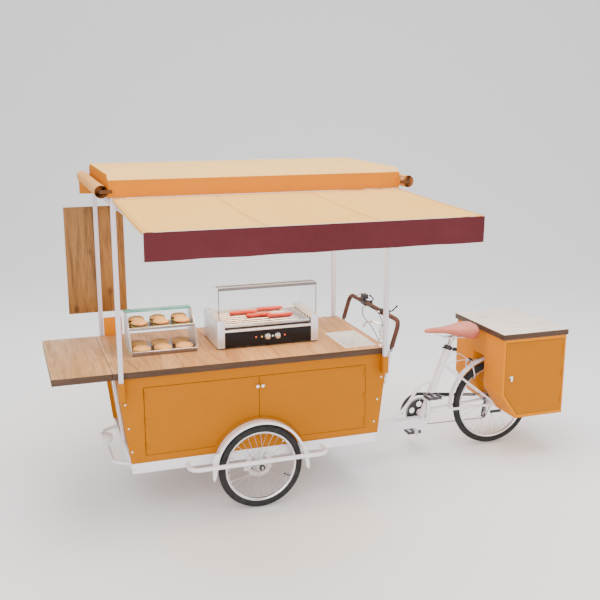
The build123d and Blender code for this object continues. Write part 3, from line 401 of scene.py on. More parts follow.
def add_box(bm, lo, hi, mi=0, bevel=0.0, segs=2):
    lo, hi = Vector(lo), Vector(hi)
    r = bmesh.ops.create_cube(bm, size=1.0, matrix=Matrix.Translation((lo + hi) / 2) @ Matrix.Diagonal((*(hi - lo), 1)))
    fs = {f for v in r["verts"] for f in v.link_faces}
    for f in fs:
        f.material_index = mi
    if bevel:
        es = list({e for v in r["verts"] for e in v.link_edges})
        out = bmesh.ops.bevel(bm, geom=es, offset=bevel, segments=segs, profile=0.5, affect="EDGES", clamp_overlap=True)
        for f in out["faces"]:
            f.material_index = mi


def frame_at(axis):
    z = Vector(axis).normalized()
    x = Vector((1, 0, 0)) if abs(z.x) < 0.9 else Vector((0, 1, 0))
    y = z.cross(x).normalized()
    x = y.cross(z)
    return Matrix((x, y, z)).transposed().to_4x4()


def add_lathe(bm, origin, axis, profile, seg=48, mi=0, close=False, mod=None):
    """profile is a list of (radius, height along the axis); close joins its two ends."""
    M = Matrix.Translation(origin) @ frame_at(axis)
    rings = []
    for i in range(seg):
        a = 2 * pi * i / seg
        ring = []
        for k, (r, h) in enumerate(profile):
            rr, hh = mod(i, k, r, h) if mod else (r, h)
            ring.append(bm.verts.new(M @ Vector((rr * math.cos(a), rr * math.sin(a), hh))))
        rings.append(ring)
    n = len(profile)
    last = n if close else n - 1
    for i in range(seg):
        A, B = rings[i], rings[(i + 1) % seg]
        for k in range(last):
            q = [A[k], B[k], B[(k + 1) % n], A[(k + 1) % n]]
            f = bm.faces.new(q)
            f.material_index = mi(i, k) if callable(mi) else mi
    if not close:
        for k in (0, n - 1):
            if profile[k][0] > 1e-6:
                f = bm.faces.new([rings[i][k] for i in range(seg)])
                f.material_index = mi(0, k) if callable(mi) else mi
    bmesh.ops.remove_doubles(bm, verts=[v for r in rings for v in r], dist=1e-7)


def add_rod(bm, a, b, r, seg=10, mi=0, r2=None):
    a, b = Vector(a), Vector(b)
    L = (b - a).length
    add_lathe(bm, a, b - a, [(r, 0), (r2 or r, L)], seg, mi)


def sweep_ring(bm, pts, radius, seg=14, mi=0, cap=True):
    """A tube along points that are already smooth."""
    pts = [Vector(p) for p in pts]
    rings, x = [], None
    for i, p in enumerate(pts):
        t = (pts[min(i + 1, len(pts) - 1)] - pts[max(i - 1, 0)]).normalized()
        if x is None:
            x = (Vector((0, 0, 1)) if abs(t.z) < 0.9 else Vector((1, 0, 0)))
        x = (x - t * x.dot(t)).normalized()
        y = t.cross(x)
        r = radius(i / (len(pts) - 1)) if callable(radius) else radius
        rings.append([bm.verts.new(p + (x * math.cos(2 * pi * k / seg) + y * math.sin(2 * pi * k / seg)) * r) for k in range(seg)])
    for a, b in zip(rings, rings[1:]):
        for k in range(seg):
            f = bm.faces.new([a[k], a[(k + 1) % seg], b[(k + 1) % seg], b[k]])
            f.material_index = mi
    if cap:
        for r in (rings[0], rings[-1]):
            f = bm.faces.new(r)
            f.material_index = mi


def rounded_path(pts, radius, step=7):
    """Straight runs with round corners, as points."""
    pts = [Vector(p) for p in pts]
    out = [pts[0]]
    for i in range(1, len(pts) - 1):
        a, b = (pts[i - 1] - pts[i]), (pts[i + 1] - pts[i])
        half = (pi - a.angle(b)) / 2
        d = min(radius * math.tan(half), 0.48 * a.length, 0.48 * b.length)
        p, q = pts[i] + a.normalized() * d, pts[i] + b.normalized() * d
        for k in range(step + 1):
            t = k / step
            out.append(p * (1 - t) ** 2 + pts[i] * 2 * t * (1 - t) + q * t ** 2)
    out.append(pts[-1])
    return out


def screw(bm, p, axis, r=0.006, mi=0):
    add_lathe(bm, p, axis, [(r, -0.001), (r, 0.0008), (r * 0.86, 0.0022), (r * 0.5, 0.0031), (r * 0.48, 0.0018), (0, 0.0018)], 18, mi)


B3 = lambda node: [Vector(v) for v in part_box(node)]

# ------------------------------------------------------------------ stage
bm = bmesh.new()
prof = [(-14.0, 0.0), (6.0, 0.0)]
for k in range(1, 25):
    a = pi / 2 * k / 24
    prof.append((6.0 + 5.0 * math.sin(a), 5.0 * (1 - math.cos(a))))
prof.append((11.0, 16.0))
back = Vector((fwd.x, fwd.y, 0)).normalized()
side = Vector((back.y, -back.x, 0))
cols = [[bm.verts.new(back * d + side * w + Vector((0, 0, z))) for d, z in prof] for w in (-26, -13, 0, 13, 26)]
for A, B in zip(cols, cols[1:]):
    for k in range(len(prof) - 1):
        bm.faces.new((A[k], B[k], B[k + 1], A[k + 1]))
for f in bm.faces:
    f.smooth = True
me = bpy.data.meshes.new("floor")
bm.to_mesh(me)
bm.free()
floor = bpy.data.objects.new("floor", me)
floor.location = (0, 0, -0.001)
bpy.context.scene.collection.objects.link(floor)
FLOOR = Mat("floor_white", (0.95, 0.95, 0.95), 0.9, spec=0.1)
me.materials.append(FLOOR.m)
world = bpy.data.worlds.new("studio")
bpy.context.scene.world = world
world.use_nodes = True
world.node_tree.nodes["Background"].inputs["Color"].default_value = (1.0, 1.0, 1.0, 1)
world.node_tree.nodes["Background"].inputs["Strength"].default_value = 1.0


def area(name, loc, target, size, power, colour=(1, 1, 1)):
    L = bpy.data.lights.new(name, "AREA")
    L.shape, L.size, L.size_y, L.energy, L.color = "RECTANGLE", size[0], size[1], power, colour
    o = bpy.data.objects.new(name, L)
    bpy.context.scene.collection.objects.link(o)
    o.location = loc
    o.rotation_euler = (Vector(target) - Vector(loc)).to_track_quat("-Z", "Y").to_euler()


area("key", (-3.5, -5.0, 5.5), (0, 0, 0.8), (4, 4), 150, (1.0, 0.98, 0.95))
area("fill", (4.5, -4.5, 3.0), (0, 0, 0.8), (4, 3), 80)
area("front", (-1.8, -6.4, 2.3), (-0.2, 0, 0.95), (5, 1.4), 150)
area("top", (0, 0.4, 6.5), (0, 0, 0), (6, 6), 520)
area("canopy", (-0.35, -0.15, 1.74), (-0.35, -0.15, 0.9), (1.2, 0.5), 20, (1.0, 0.76, 0.50))

# ------------------------------------------------------------------ cabinet and its frame
soften("chassis_frame", WHITE, 0.0025)
soften("cabinet_shell", ORANGE, 0.0015)
soften("near_side_panel", ORANGE, 0.0015)


def knob_pick(c, n):
    return 1 if c.y < -0.4035 else 0


soften("near_door_front", [ORANGE, CHROME], 0.0012, pick=knob_pick)
soften("near_door_rear", [ORANGE, CHROME], 0.0012, pick=knob_pick)

bm = bmesh.new()
for x, z in ((-1.270, 0.701), (-1.256, 0.559), (-1.242, 0.419), (0.272, 0.702), (0.248, 0.562), (0.228, 0.421)):
    for s in (-1, 1):
        screw(bm, (x, s * 0.395, z), (0, s, 0), 0.0065)
for x, z in ((-1.236, 0.317), (0.240, 0.317)):
    for s in (-1, 1):
        screw(bm, (x, s * 0.395, z), (0, s, 0), 0.008)
piece("panel_screws", bm, "cart", CHROME)

# the doors' meeting line goes on down behind the wheel
bm = bmesh.new()
for x, z0, z1 in ((-0.4995, 0.391, 0.5405),):
    add_box(bm, (x - 0.0013, -0.3957, z0), (x + 0.0013, -0.3945, z1))
piece("door_meeting_line", bm, "cart", SEAM)


def top_pick(c, n):
    return 0 if abs(n.z) > 0.6 else 1


soften("worktop", [WOOD, EDGE], 0.0015, pick=top_pick)
soften("drop_leaf", [WOOD, EDGE, CHROME], 0.0015, pick=lambda c, n: 2 if c.z < 0.8525 and c.x > -1.345 else top_pick(c, n))
soften("splash_guard", ORANGE_LIT, 0.0012)
soften("water_tanks", TANKM, 0.02, 4)
soften("sink_basin", CERAMIC, 0.0030, 3)
b = B3("sink_basin")
bm = bmesh.new()
dx, dy, dz = (b[0].x + b[1].x) / 2 + 0.020, -0.080, 0.743
add_lathe(bm, (dx, dy, dz), (0, 0, 1), [(0.0, 0.0022), (0.010, 0.0022), (0.012, 0.0034), (0.024, 0.0034), (0.030, 0.0024), (0.031, 0.0004)], 32)
for i in range(8):
    a = 2 * pi * i / 8
    add_rod(bm, (dx + 0.015 * math.cos(a), dy + 0.015 * math.sin(a), dz + 0.0030), (dx + 0.022 * math.cos(a), dy + 0.022 * math.sin(a), dz + 0.0042), 0.0012, 6)
piece("sink_drain", bm, "cart", CHROME)

# faucet: turned body, lever and swivelling spout
fx, fy, fz = 0.276, -0.372, 0.891
bm = bmesh.new()
add_lathe(bm, (fx, fy, fz), (0, 0, 1), [(0.0175, 0), (0.0175, 0.004), (0.0155, 0.007), (0.0125, 0.009), (0.0115, 0.020), (0.0135, 0.024), (0.0135, 0.032), (0.0110, 0.036), (0.0105, 0.070), (0.0125, 0.074), (0.0125, 0.090), (0.0095, 0.0955)], 40)
piece("faucet_column", bm, "cart", CHROME, ("faucet_body",))
bm = bmesh.new()
add_lathe(bm, (fx, fy, fz + 0.0965), (0, 0, 1), [(0.0098, 0), (0.0112, 0.002), (0.0112, 0.018), (0.0085, 0.022), (0, 0.023)], 40)
pts = rounded_path([(fx, fy, fz + 0.110), (fx, fy, fz + 0.132), (fx - 0.030, fy + 0.052, fz + 0.141), (fx - 0.060, fy + 0.105, fz + 0.124), (fx - 0.065, fy + 0.114, fz + 0.100)], 0.030)
sweep_ring(bm, pts, 0.0055, 16)
add_lathe(bm, (fx - 0.065, fy + 0.114, fz + 0.104), (-0.12, 0.22, -1), [(0.0060, 0), (0.0074, 0.001), (0.0074, 0.008), (0.0058, 0.009)], 24)
piece("faucet_arm", bm, "faucet_spout", CHROME, ("faucet_spout",))

# ------------------------------------------------------------------ canopy
# the canopy frame takes the painted-shade copy of the white enamel
soften("canopy_frame", POST_SHADE, 0.0018)
soften("post_sockets", ORANGE, 0.003, 3)


# the roof cover's top faces take the painted-highlight copy; its sides keep the canvas's deep orange
soften("canopy_roof", [ROOF, ROOFTOP_HIGHLIGHT, HANGER], 0.004, 3, pick=lambda c, n: 2 if (c.x < -1.3135 or c.x > 0.3335) and c.z < 1.905 else (1 if n.z > 0.6 and c.z > 1.90 else 0))
# stitched hems along the roof cover's lower edge and its folds
bm = bmesh.new()
for s in (-1, 1):
    for z in (1.858, 1.864, 1.931):
        y = s * 0.4506
        x = -1.298
        while x < 0.318:
            add_rod(bm, (x, y, z), (x + 0.006, y, z), 0.0007, 5)
            x += 0.010
piece("roof_stitches", bm, "cart", THREAD)

XA0, XA1, YT, YR = -1.292, 0.328, 1.415, 0.452


def awning(side):
    s = -1 if side == "near" else 1
    rnd = random.Random(7 if side == "near" else 11)
    ph = [rnd.random() * 6 for _ in range(6)]
    nx, ny = 96, 48
    bm = bmesh.new()
    grid = []
    for i in range(nx + 1):
        u = i / nx
        row = []
        for j in range(ny + 1):
            v = j / ny
            x = XA0 + 0.001 + (XA1 - XA0 - 0.002) * u
            y = s * (YR + (YT - 0.004 - YR) * v)
            z = 1.8460 - 0.0375 * v
            z -= 0.0075 * math.sin(pi * v) * (0.6 + 0.4 * math.sin(pi * u))
            z += 0.0016 * math.sin(u * 23 + ph[0] + 2.2 * v) * math.sin(pi * v) + 0.0011 * math.sin(u * 51 + ph[1]) * v * (1 - v) * 3
            row.append(bm.verts.new((x, y, z)))
        grid.append(row)
    for i in range(nx):
        for j in range(ny):
            bm.faces.new((grid[i][j], grid[i + 1][j], grid[i + 1][j + 1], grid[i][j + 1]))
    o = piece(side + "_awning_canvas_painted_highlight", bm, "cart", AWNING_LIT, (side + "_awning_cloth",), 80)
    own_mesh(o)
    # sewn joins between the canvas widths, and the hem's stitches
    bm = bmesh.new()
    for xk in (XA0 + 0.012, XA0 + 0.54, XA0 + 1.08, XA1 - 0.012):
        u = (xk - XA0) / (XA1 - XA0)
        for d in (-0.004, 0.004):
            pts = []
            for j in range(25):
                v = j / 24
                z = 1.8460 - 0.0375 * v - 0.0075 * math.sin(pi * v) * (0.6 + 0.4 * math.sin(pi * u))
                z += 0.0016 * math.sin(u * 23 + ph[0] + 2.2 * v) * math.sin(pi * v) + 0.0011 * math.sin(u * 51 + ph[1]) * v * (1 - v) * 3
                pts.append((xk + d, s * (YR + (YT - 0.004 - YR) * v), z + 0.0004))
            sweep_ring(bm, pts, 0.0007, 5)
    o2 = piece(side + "_awning_seams", bm, "cart", THREAD)
    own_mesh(o2)
    # bound side edges of the canvas
    bm = bmesh.new()
    for x0, e in ((XA0 + 0.001, 1), (XA1 - 0.001, -1)):
        u = (x0 - XA0) / (XA1 - XA0)
        cols = []
        for j in range(25):
            v = j / 24
            z = 1.8460 - 0.0375 * v - 0.0075 * math.sin(pi * v) * (0.6 + 0.4 * math.sin(pi * u))
            z += 0.0016 * math.sin(u * 23 + ph[0] + 2.2 * v) * math.sin(pi * v) + 0.0011 * math.sin(u * 51 + ph[1]) * v * (1 - v) * 3
            y = s * (YR + (YT - 0.022 - YR) * v)
            cols.append([bm.verts.new((x0 + dx * e, y, z + dz)) for dx, dz in ((-0.0006, 0.0006), (0.0014, 0.0006), (0.0014, -0.0165), (-0.0006, -0.0165))])
        for a, b in zip(cols, cols[1:]):
            for k in range(4):
                bm.faces.new((a[k], a[(k + 1) % 4], b[(k + 1) % 4], b[k]))
        bm.faces.new(cols[0])
        bm.faces.new(cols[-1])
    o3 = piece(side + "_awning_side_hems", bm, "cart", AWNING_LIT)
    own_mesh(o3)
    # valance: a hanging strip with soft waves
    bm = bmesh.new()
    nx, nz = 140, 14
    grid = []
    for i in range(nx + 1):
        u = i / nx
        row = []
        for k in range(nz + 1):
            w = k / nz
            x = XA0 + (XA1 - XA0) * u
            amp = 0.0030 * w ** 1.3
            y = s * (YT - 0.0030 + amp * (math.sin(u * 37 + ph[2]) * 0.55 + math.sin(u * 71 + ph[3]) * 0.3) - 0.0028 * w)
            z = 1.8065 - 0.1245 * w + 0.0012 * math.sin(u * 29 + ph[4]) * w
            row.append(bm.verts.new((x, y, z)))
        grid.append(row)
    for i in range(nx):
        for k in range(nz):
            bm.faces.new((grid[i][k], grid[i + 1][k], grid[i + 1][k + 1], grid[i][k + 1]))
    o = piece(side + "_valance_strip", bm, side + "_awning_bar", MAROON if side == "near" else AWNEDGE, (side + "_awning_bar",), 80)
    bm = bmesh.new()
    xs = (-1.262, 0.248) if side == "near" else (-1.228, 0.214)
    add_box(bm, (XA0 + 0.002, min(s * 1.389, s * 1.409), 1.782), (XA1 - 0.002, max(s * 1.389, s * 1.409), 1.8025), 0, 0.0025)
    for x in xs:
        add_box(bm, (x - 0.0098, min(s * 0.330, s * 1.392), 1.7862), (x + 0.0098, max(s * 0.330, s * 1.392), 1.8058), 0, 0.002)
        add_box(bm, (x - 0.016, min(s * 1.374, s * 1.4085), 1.780), (x + 0.016, max(s * 1.374, s * 1.4085), 1.8045), 0, 0.002)
    o = piece(side + "_awning_frame", bm, side + "_awning_bar", WHITE, (side + "_awning_bar",))
    bm = bmesh.new()
    for x in (XA0 + 0.0015, XA1 - 0.0015):
        add_box(bm, (x - 0.0015, min(s * 1.387, s * 1.411), 1.780), (x + 0.0015, max(s * 1.387, s * 1.411), 1.8045), 0, 0.0006)
    piece(side + "_bar_caps", bm, side + "_awning_bar", WHITEPART)


awning("near")
awning("far")


# rolled side blinds: one strip of canvas wound round a tube, open at its ends
def blind(name, node):
    lo, hi = B3(node)
    cx, cz, y0, y1 = (lo.x + hi.x) / 2, (lo.z + hi.z) / 2, lo.y, hi.y
    bm = bmesh.new()
    turns, r0, r1 = 7.0, 0.0130, 0.0352
    n, m = 340, 24
    rows = []
    for i in range(n + 1):
        t = i / n
        a = turns * 2 * pi * t + (0.5 if cx < 0 else 2.2)
        r = r0 + (r1 - r0) * t
        rows.append([bm.verts.new((cx + (r + 0.0006 * math.sin(7.1 * j / m + a)) * math.cos(a), y0 + 0.001 + (y1 - y0 - 0.002) * j / m, cz + (r + 0.0006 * math.sin(7.1 * j / m + a)) * math.sin(a))) for j in range(m + 1)])
    for a, b in zip(rows, rows[1:]):
        for j in range(m):
            bm.faces.new((a[j], b[j], b[j + 1], a[j + 1]))
    o = piece(name + "_roll", bm, node, BLIND, (node,), 80)
    bm = bmesh.new()
    for s, y in ((-1, y0), (1, y1)):
        add_lathe(bm, (cx, y - s * 0.0008, cz), (0, s, 0), [(0.0072, -0.020), (0.0116, -0.020), (0.0116, 0.0006), (0.0108, 0.0012), (0.0080, 0.0012), (0.0072, 0.0006)], 40)
    add_lathe(bm, (cx, y0 + 0.018, cz), (0, 1, 0), [(0.0116, 0), (0.0116, y1 - y0 - 0.036)], 40)
    piece(name + "_core", bm, node, PLASTIC)


blind("front_blind", "front_blind")
blind("rear_blind", "rear_blind")

soften("sign_board", [OAK, WHITE], 0.002, pick=lambda c, n: 1 if c.y < 0.4462 else 0)

# ------------------------------------------------------------------ bar, sleeves, levers, cables
soften("handlebar", [BLACK, WHITE], 0, pick=lambda c, n: 1 if c.z < 0.880 else 0)
HB = [Vector((0.3275, -0.388, 0.842)), Vector((0.386, -0.388, 1.040)), Vector((0.386, 0.388, 1.040)), Vector((0.3275, 0.388, 0.842))]
path = rounded_path([HB[0] + (HB[1] - HB[0]) * 0.20, HB[1], HB[2], HB[3] + (HB[2] - HB[3]) * 0.20], 0.055, 10)


def along(a, b, n):
    return [a.lerp(b, i / n) for i in range(n + 1)]


dense = []
for a, b in zip(path, path[1:]):
    k = max(1, int((b - a).length / 0.004))
    dense += [a.lerp(b, i / k) for i in range(k)]
dense.append(path[-1])
GAPS = ((-0.158, -0.118), (0.106, 0.146))


def wrap_run(bm, pts):
    L = [0.0]
    for a, b in zip(pts, pts[1:]):
        L.append(L[-1] + (b - a).length)
    tot = L[-1]
    if tot < 0.02:
        return

    def rad(u):
        s = u * tot
        edge = min(s, tot - s)
        lap = (s % 0.017) / 0.017
        return 0.0137 + 0.0009 * (1 - lap) + (0.0008 if edge < 0.006 else 0)

    sweep_ring(bm, pts, rad, 18)


bm = bmesh.new()
run = []
for p in dense:
    cut = any(g0 <= p.y <= g1 and abs(p.z - 1.040) < 0.004 for g0, g1 in GAPS)
    if cut:
        if run:
            wrap_run(bm, run)
        run = []
    else:
        run.append(p)
wrap_run(bm, run)
piece("leather_sleeves", bm, "cart", LEATHER, ("handlebar_wrap",), 50)
soften("bar_controls", [PLASTIC, CHROME], 0.0012, pick=lambda c, n: 0)
bm = bmesh.new()
add_lathe(bm, (0.386, 0.215, 1.050), (0, 0, 1), [(0.004, 0), (0.004, 0.010), (0.0210, 0.0105), (0.0220, 0.014), (0.0195, 0.022), (0.0120, 0.0275), (0.004, 0.0295), (0, 0.0298)], 40)
piece("bar_bell", bm, "cart", CHROME)
for side in ("near", "far"):
    soften(side + "_brake_lever", BLACK, 0)

ROUTES = (
    ("far_lever_cable", ((364.6, 126, 1046), (345, 104, 1054), (333, 62, 1063), (327, 12, 1069), (325, -42, 1073), (326, -96, 1073), (329, -150, 1067), (332, -201, 1052), (334, -243, 1024), (335, -262, 982), (335, -263, 934), (334, -257, 888), (330, -250, 842), (322, -247, 798)), 0.621),
    ("near_lever_cable", ((364.6, -138, 1040), (350, -112, 1050), (343, -66, 1059), (341, -16, 1056), (339, 24, 1047), (336, 52, 1031), (334, 60, 1004), (332, 46, 979), (329, 4, 966), (326, -60, 957), (322, -126, 942), (321, -178, 922), (320, -226, 898), (320, -262, 862), (319, -274, 820), (315, -272, 780)), 0.674),
)
for name, pts, length in ROUTES:
    cu = bpy.data.curves.new(name, "CURVE")
    cu.dimensions = "3D"
    cu.bevel_depth, cu.bevel_resolution, cu.resolution_u, cu.use_fill_caps = 0.0025, 5, 14, True
    sp = cu.splines.new("NURBS")
    sp.points.add(len(pts) - 1)
    for q, p in zip(sp.points, pts):
        q.co = (p[0] / 1000, p[1] / 1000, p[2] / 1000, 1)
    sp.use_endpoint_u = True
    sp.order_u = 3
    o = bpy.data.objects.new(name, cu)
    bpy.context.scene.collection.objects.link(o)
    finish_piece(o, "cart", CABLE, ("brake_cables",))
bm = bmesh.new()
for name, pts, length in ROUTES:
    for a, b in ((pts[0], pts[1]), (pts[-1], pts[-2])):
        a, b = Vector(a) / 1000, Vector(b) / 1000
        d = (b - a).normalized()
        add_lathe(bm, a - d * 0.004, d, [(0.0030, 0), (0.0042, 0.001), (0.0042, 0.008), (0.0036, 0.011), (0.0030, 0.016)], 18)
piece("cable_ferrules", bm, "cart", CHROME)

# ------------------------------------------------------------------ guards, lamp, fenders
soften("guard_rails", WHITE, 0)
soften("front_fenders", WHITE, 0.0008)
soften("brake_calipers", [BLACK, ALLOY], 0.0015, pick=lambda c, n: 1 if abs(c.y) > 0.4045 else 0)
bm = bmesh.new()
add_box(bm, (-1.344, -0.012, 0.327), (-1.322, 0.012, 0.346), 0, 0.002)
add_lathe(bm, (-1.333, -0.013, 0.317), (0, 1, 0), [(0.0112, 0), (0.0150, 0), (0.0150, 0.026), (0.0112, 0.026)], 32, close=True)
add_lathe(bm, (-1.303, 0, 0.368), (-1, 0, 0), [(0, 0), (0.016, 0.001), (0.024, 0.006), (0.031, 0.020), (0.036, 0.040), (0.0375, 0.058), (0.0395, 0.059), (0.0395, 0.0665), (0.0355, 0.0670)], 56)
piece("headlamp_shell", bm, "cart", WHITE, ("headlamp",))
bm = bmesh.new()
add_lathe(bm, (-1.3655, 0, 0.368), (-1, 0, 0), [(0.0352, 0), (0.0340, 0.0018), (0.020, 0.0034), (0, 0.0040)], 56)
piece("headlamp_lens", bm, "cart", LENS)


# ------------------------------------------------------------------ wheels
def wheel(tag, body, tyre_node, wheel_node, cx, cy, cz, R, hub_half, disc_y=None, cassette=False, spokes=32):
    minor = 0.022
    c = Vector((cx, cy, cz))
    # tyre: round casing with a crowned tread band of small blocks
    bm = bmesh.new()
    seg, prof = 216, []
    for k in range(27):
        a = -0.80 * pi + 1.60 * pi * k / 26
        prof.append((R - minor + minor * math.cos(a) - 0.0004, minor * 0.985 * math.sin(a)))

    def tread(i, k, r, h):
        a = abs(-0.80 * pi + 1.60 * pi * k / 26)
        if a < 1.05:
            lane = int((a + 0.12) / 0.30)
            cut = (i + lane * 2) % 4 == 0
            if cut or k in (9, 17):
                return r - 0.0016 * (R - minor and 1) * math.cos(a), h - 0.0016 * math.sin(a) * (1 if h > 0 else 1)
        return r, h

    add_lathe(bm, c, (0, 1, 0), prof, seg, 0, close=True, mod=tread)
    for s in (-1, 1):
        for r, w in ((R - 0.0335, 0.0006), (R - 0.0385, 0.0008)):
            add_lathe(bm, c + Vector((0, s * (0.0166 if r > R - 0.036 else 0.0128), 0)), (0, s, 0), [(r - 0.001, -0.0005), (r - 0.001, 0), (r, w * 2), (r + 0.001, 0), (r + 0.001, -0.0005)], 120, 0, close=True)
    piece(tag + "_tread", bm, body, RUBBER, (tyre_node,), 28)
    # rim, hub, spokes with crossing lacing, nipples, valve
    seat = R - 2 * minor + 0.004
    bm = bmesh.new()
    add_lathe(bm, c, (0, 1, 0), [(seat - 0.0005, -0.0132), (seat - 0.0030, -0.0138), (seat - 0.0072, -0.0132), (seat - 0.0125, -0.0095), (seat - 0.0145, -0.004), (seat - 0.0145, 0.004), (seat - 0.0125, 0.0095), (seat - 0.0072, 0.0132), (seat - 0.0030, 0.0138), (seat - 0.0005, 0.0132), (seat - 0.0036, 0.0108), (seat - 0.0060, 0.005), (seat - 0.0060, -0.005), (seat - 0.0036, -0.0108)], 144, 0, close=True)
    fl = hub_half - 0.014
    hr = 0.021 if hub_half < 0.036 else 0.026
    add_lathe(bm, c, (0, 1, 0), [(0.0085, -hub_half + 0.001), (0.012, -hub_half + 0.001), (0.0135, -fl - 0.004), (hr, -fl - 0.0018), (hr, -fl + 0.0018), (0.0140, -fl + 0.004), (0.0125, 0), (0.0140, fl - 0.004), (hr, fl - 0.0018), (hr, fl + 0.0018), (0.0135, fl + 0.004), (0.012, hub_half - 0.001), (0.0085, hub_half - 0.001)], 48, 0, close=True)
    for i in range(spokes):
        f = 1 if i % 2 else -1
        a0 = 2 * pi * i / spokes
        cross = (1 if (i // 2) % 2 else -1) * 2 * pi * 2.6 / spokes * 1.6
        p = c + Vector(((hr - 0.003) * math.cos(a0 + cross * 1.6), f * fl, (hr - 0.003) * math.sin(a0 + cross * 1.6)))
        q = c + Vector(((seat - 0.0150) * math.cos(a0), f * 0.002, (seat - 0.0150) * math.sin(a0)))
        add_rod(bm, p, q, 0.00105, 6, 1)
        d = (q - p).normalized()
        add_rod(bm, q - d * 0.011, q, 0.0019, 8, 1)
    a = -0.45
    d = Vector((math.cos(a), 0, math.sin(a)))
    add_rod(bm, c + d * (seat - 0.015), c + d * (seat - 0.046), 0.0030, 10, 2)
    add_rod(bm, c + d * (seat - 0.046), c + d * (seat - 0.056), 0.0040, 10, 2)
    mats = [ALLOY, SPOKE, BLACK, CHROME if disc_y is not None else DARKSTEEL]
    if disc_y is not None:
        t = 1 if disc_y > 0 else -1
        # brake rotor with slots, its carrier, and the hub's end cap
        for k in range(30):
            a0, a1 = 2 * pi * k / 30, 2 * pi * (k + 0.62) / 30
            vs = []
            for (r, aa) in ((0.0605, a0), (0.0605, a1), (0.0785, a1 + 0.05), (0.0785, a0 + 0.05)):
                vs.append((r, aa))
            lo = [bm.verts.new(c + Vector((r * math.cos(aa), disc_y - 0.0010, r * math.sin(aa)))) for r, aa in vs]
            hi = [bm.verts.new(c + Vector((r * math.cos(aa), disc_y + 0.0010, r * math.sin(aa)))) for r, aa in vs]
            for q in (lo, hi, *[(lo[j], lo[(j + 1) % 4], hi[(j + 1) % 4], hi[j]) for j in range(4)]):
                f = bm.faces.new(q)
                f.material_index = 3
        for r0, r1 in ((0.0570, 0.0612), (0.0778, 0.0800)):
            add_lathe(bm, c + Vector((0, disc_y, 0)), (0, 1, 0), [(r0, -0.0010), (r1, -0.0010), (r1, 0.0010), (r0, 0.0010)], 90, 3, close=True)
        for k in range(6):
            a = 2 * pi * k / 6
            add_rod(bm, c + Vector((0.020 * math.cos(a), disc_y, 0.020 * math.sin(a))), c + Vector((0.059 * math.cos(a + 0.35), disc_y, 0.059 * math.sin(a + 0.35))), 0.0016, 8, 3)
        add_lathe(bm, c + Vector((0, disc_y, 0)), (0, 1, 0), [(0.0085, -0.0015), (0.0240, -0.0015), (0.0240, 0.0035), (0.0085, 0.0035)] if t > 0 else [(0.0085, -0.0035), (0.0240, -0.0035), (0.0240, 0.0015), (0.0085, 0.0015)], 40, 3, close=True)
    if cassette:
        for i, (r, teeth) in enumerate(((0.038, 28), (0.034, 24), (0.030, 21))):
            add_lathe(bm, c + Vector((0, 0.0425 + 0.003 * i, 0)), (0, 1, 0), [(0.018, 0), (r, 0), (r, 0.0018), (0.018, 0.0018)], teeth * 4, 3, close=True,
                      mod=lambda i2, k, rr, hh: (rr - (0.0030 if (i2 % 4) in (0, 3) and rr > 0.02 else 0), hh))
        add_lathe(bm, c, (0, 1, 0), [(0.0066, 0.039), (0.021, 0.039), (0.021, 0.0415), (0.017, 0.0425), (0.017, 0.051), (0.0066, 0.051)], 40, 2, close=True)
    piece(tag + "_spokes", bm, body, mats, (wheel_node,), 32)


wheel("near_front", "front_near_wheel", "near_tyre", "near_wheel", -0.509, -0.441, 0.254, 0.254, 0.032, 0.0355)
wheel("far_front", "front_far_wheel", "far_tyre", "far_wheel", -0.509, 0.441, 0.254, 0.254, 0.032, -0.0355)
wheel("back", "back_wheel", "rear_tyre", "rear_wheel", 1.292, 0.0, 0.297, 0.297, 0.040, None, True, 36)
for s, body in ((-1, "front_near_wheel"), (1, "front_far_wheel")):
    bm = bmesh.new()
    add_lathe(bm, (-0.509, s * 0.470, 0.254), (0, s, 0), [(0.0165, 0), (0.0185, 0.001), (0.0185, 0.0055), (0.0150, 0.0085), (0.0080, 0.0098), (0, 0.0100)], 40)
    add_box(bm, (-0.513, min(s * 0.4785, s * 0.4815), 0.2460), (-0.505, max(s * 0.4785, s * 0.4815), 0.262), 1, 0.001)
    piece(("near" if s < 0 else "far") + "_hub_cap", bm, body, [BLACK, CHROME])

# ------------------------------------------------------------------ rear cycle
def frame_pick(c, n):
    u = Vector((177, 0, 468)).normalized()
    r = Vector((c.x - 0.765, 0, c.z - 0.262))
    t = r.dot(u)
    off = (Vector((c.x - 0.765, c.y, c.z - 0.262)) - u * t).length
    if 0.4735 < t < 0.497 and off < 0.031:
        return 1
    if c.z > 0.690 and c.x < 1.06 and (off > 0.0265 or t > 0.472):
        return 1
    return 0


soften("rear_frame", [WHITE, BLACK], 0.0010, pick=frame_pick)
soften("chain_guard", PLASTIC, 0.0012)
soften("rear_fender", WHITE, 0.0006)
soften("rear_brake", ALLOY, 0.0010)
soften("derailleur", [BLACK, DARKSTEEL], 0.0010, pick=lambda c, n: 1 if c.y < 0.0517 else 0)
soften("seat_post", ALLOY, 0.0010)
soften("crankset", [ALLOY, BLACK], 0.0015, 3, pick=lambda c, n: 1 if (0.0465 < c.y < 0.0515 and Vector((c.x - 0.761, c.z - 0.265)).length < 0.080) else 0)

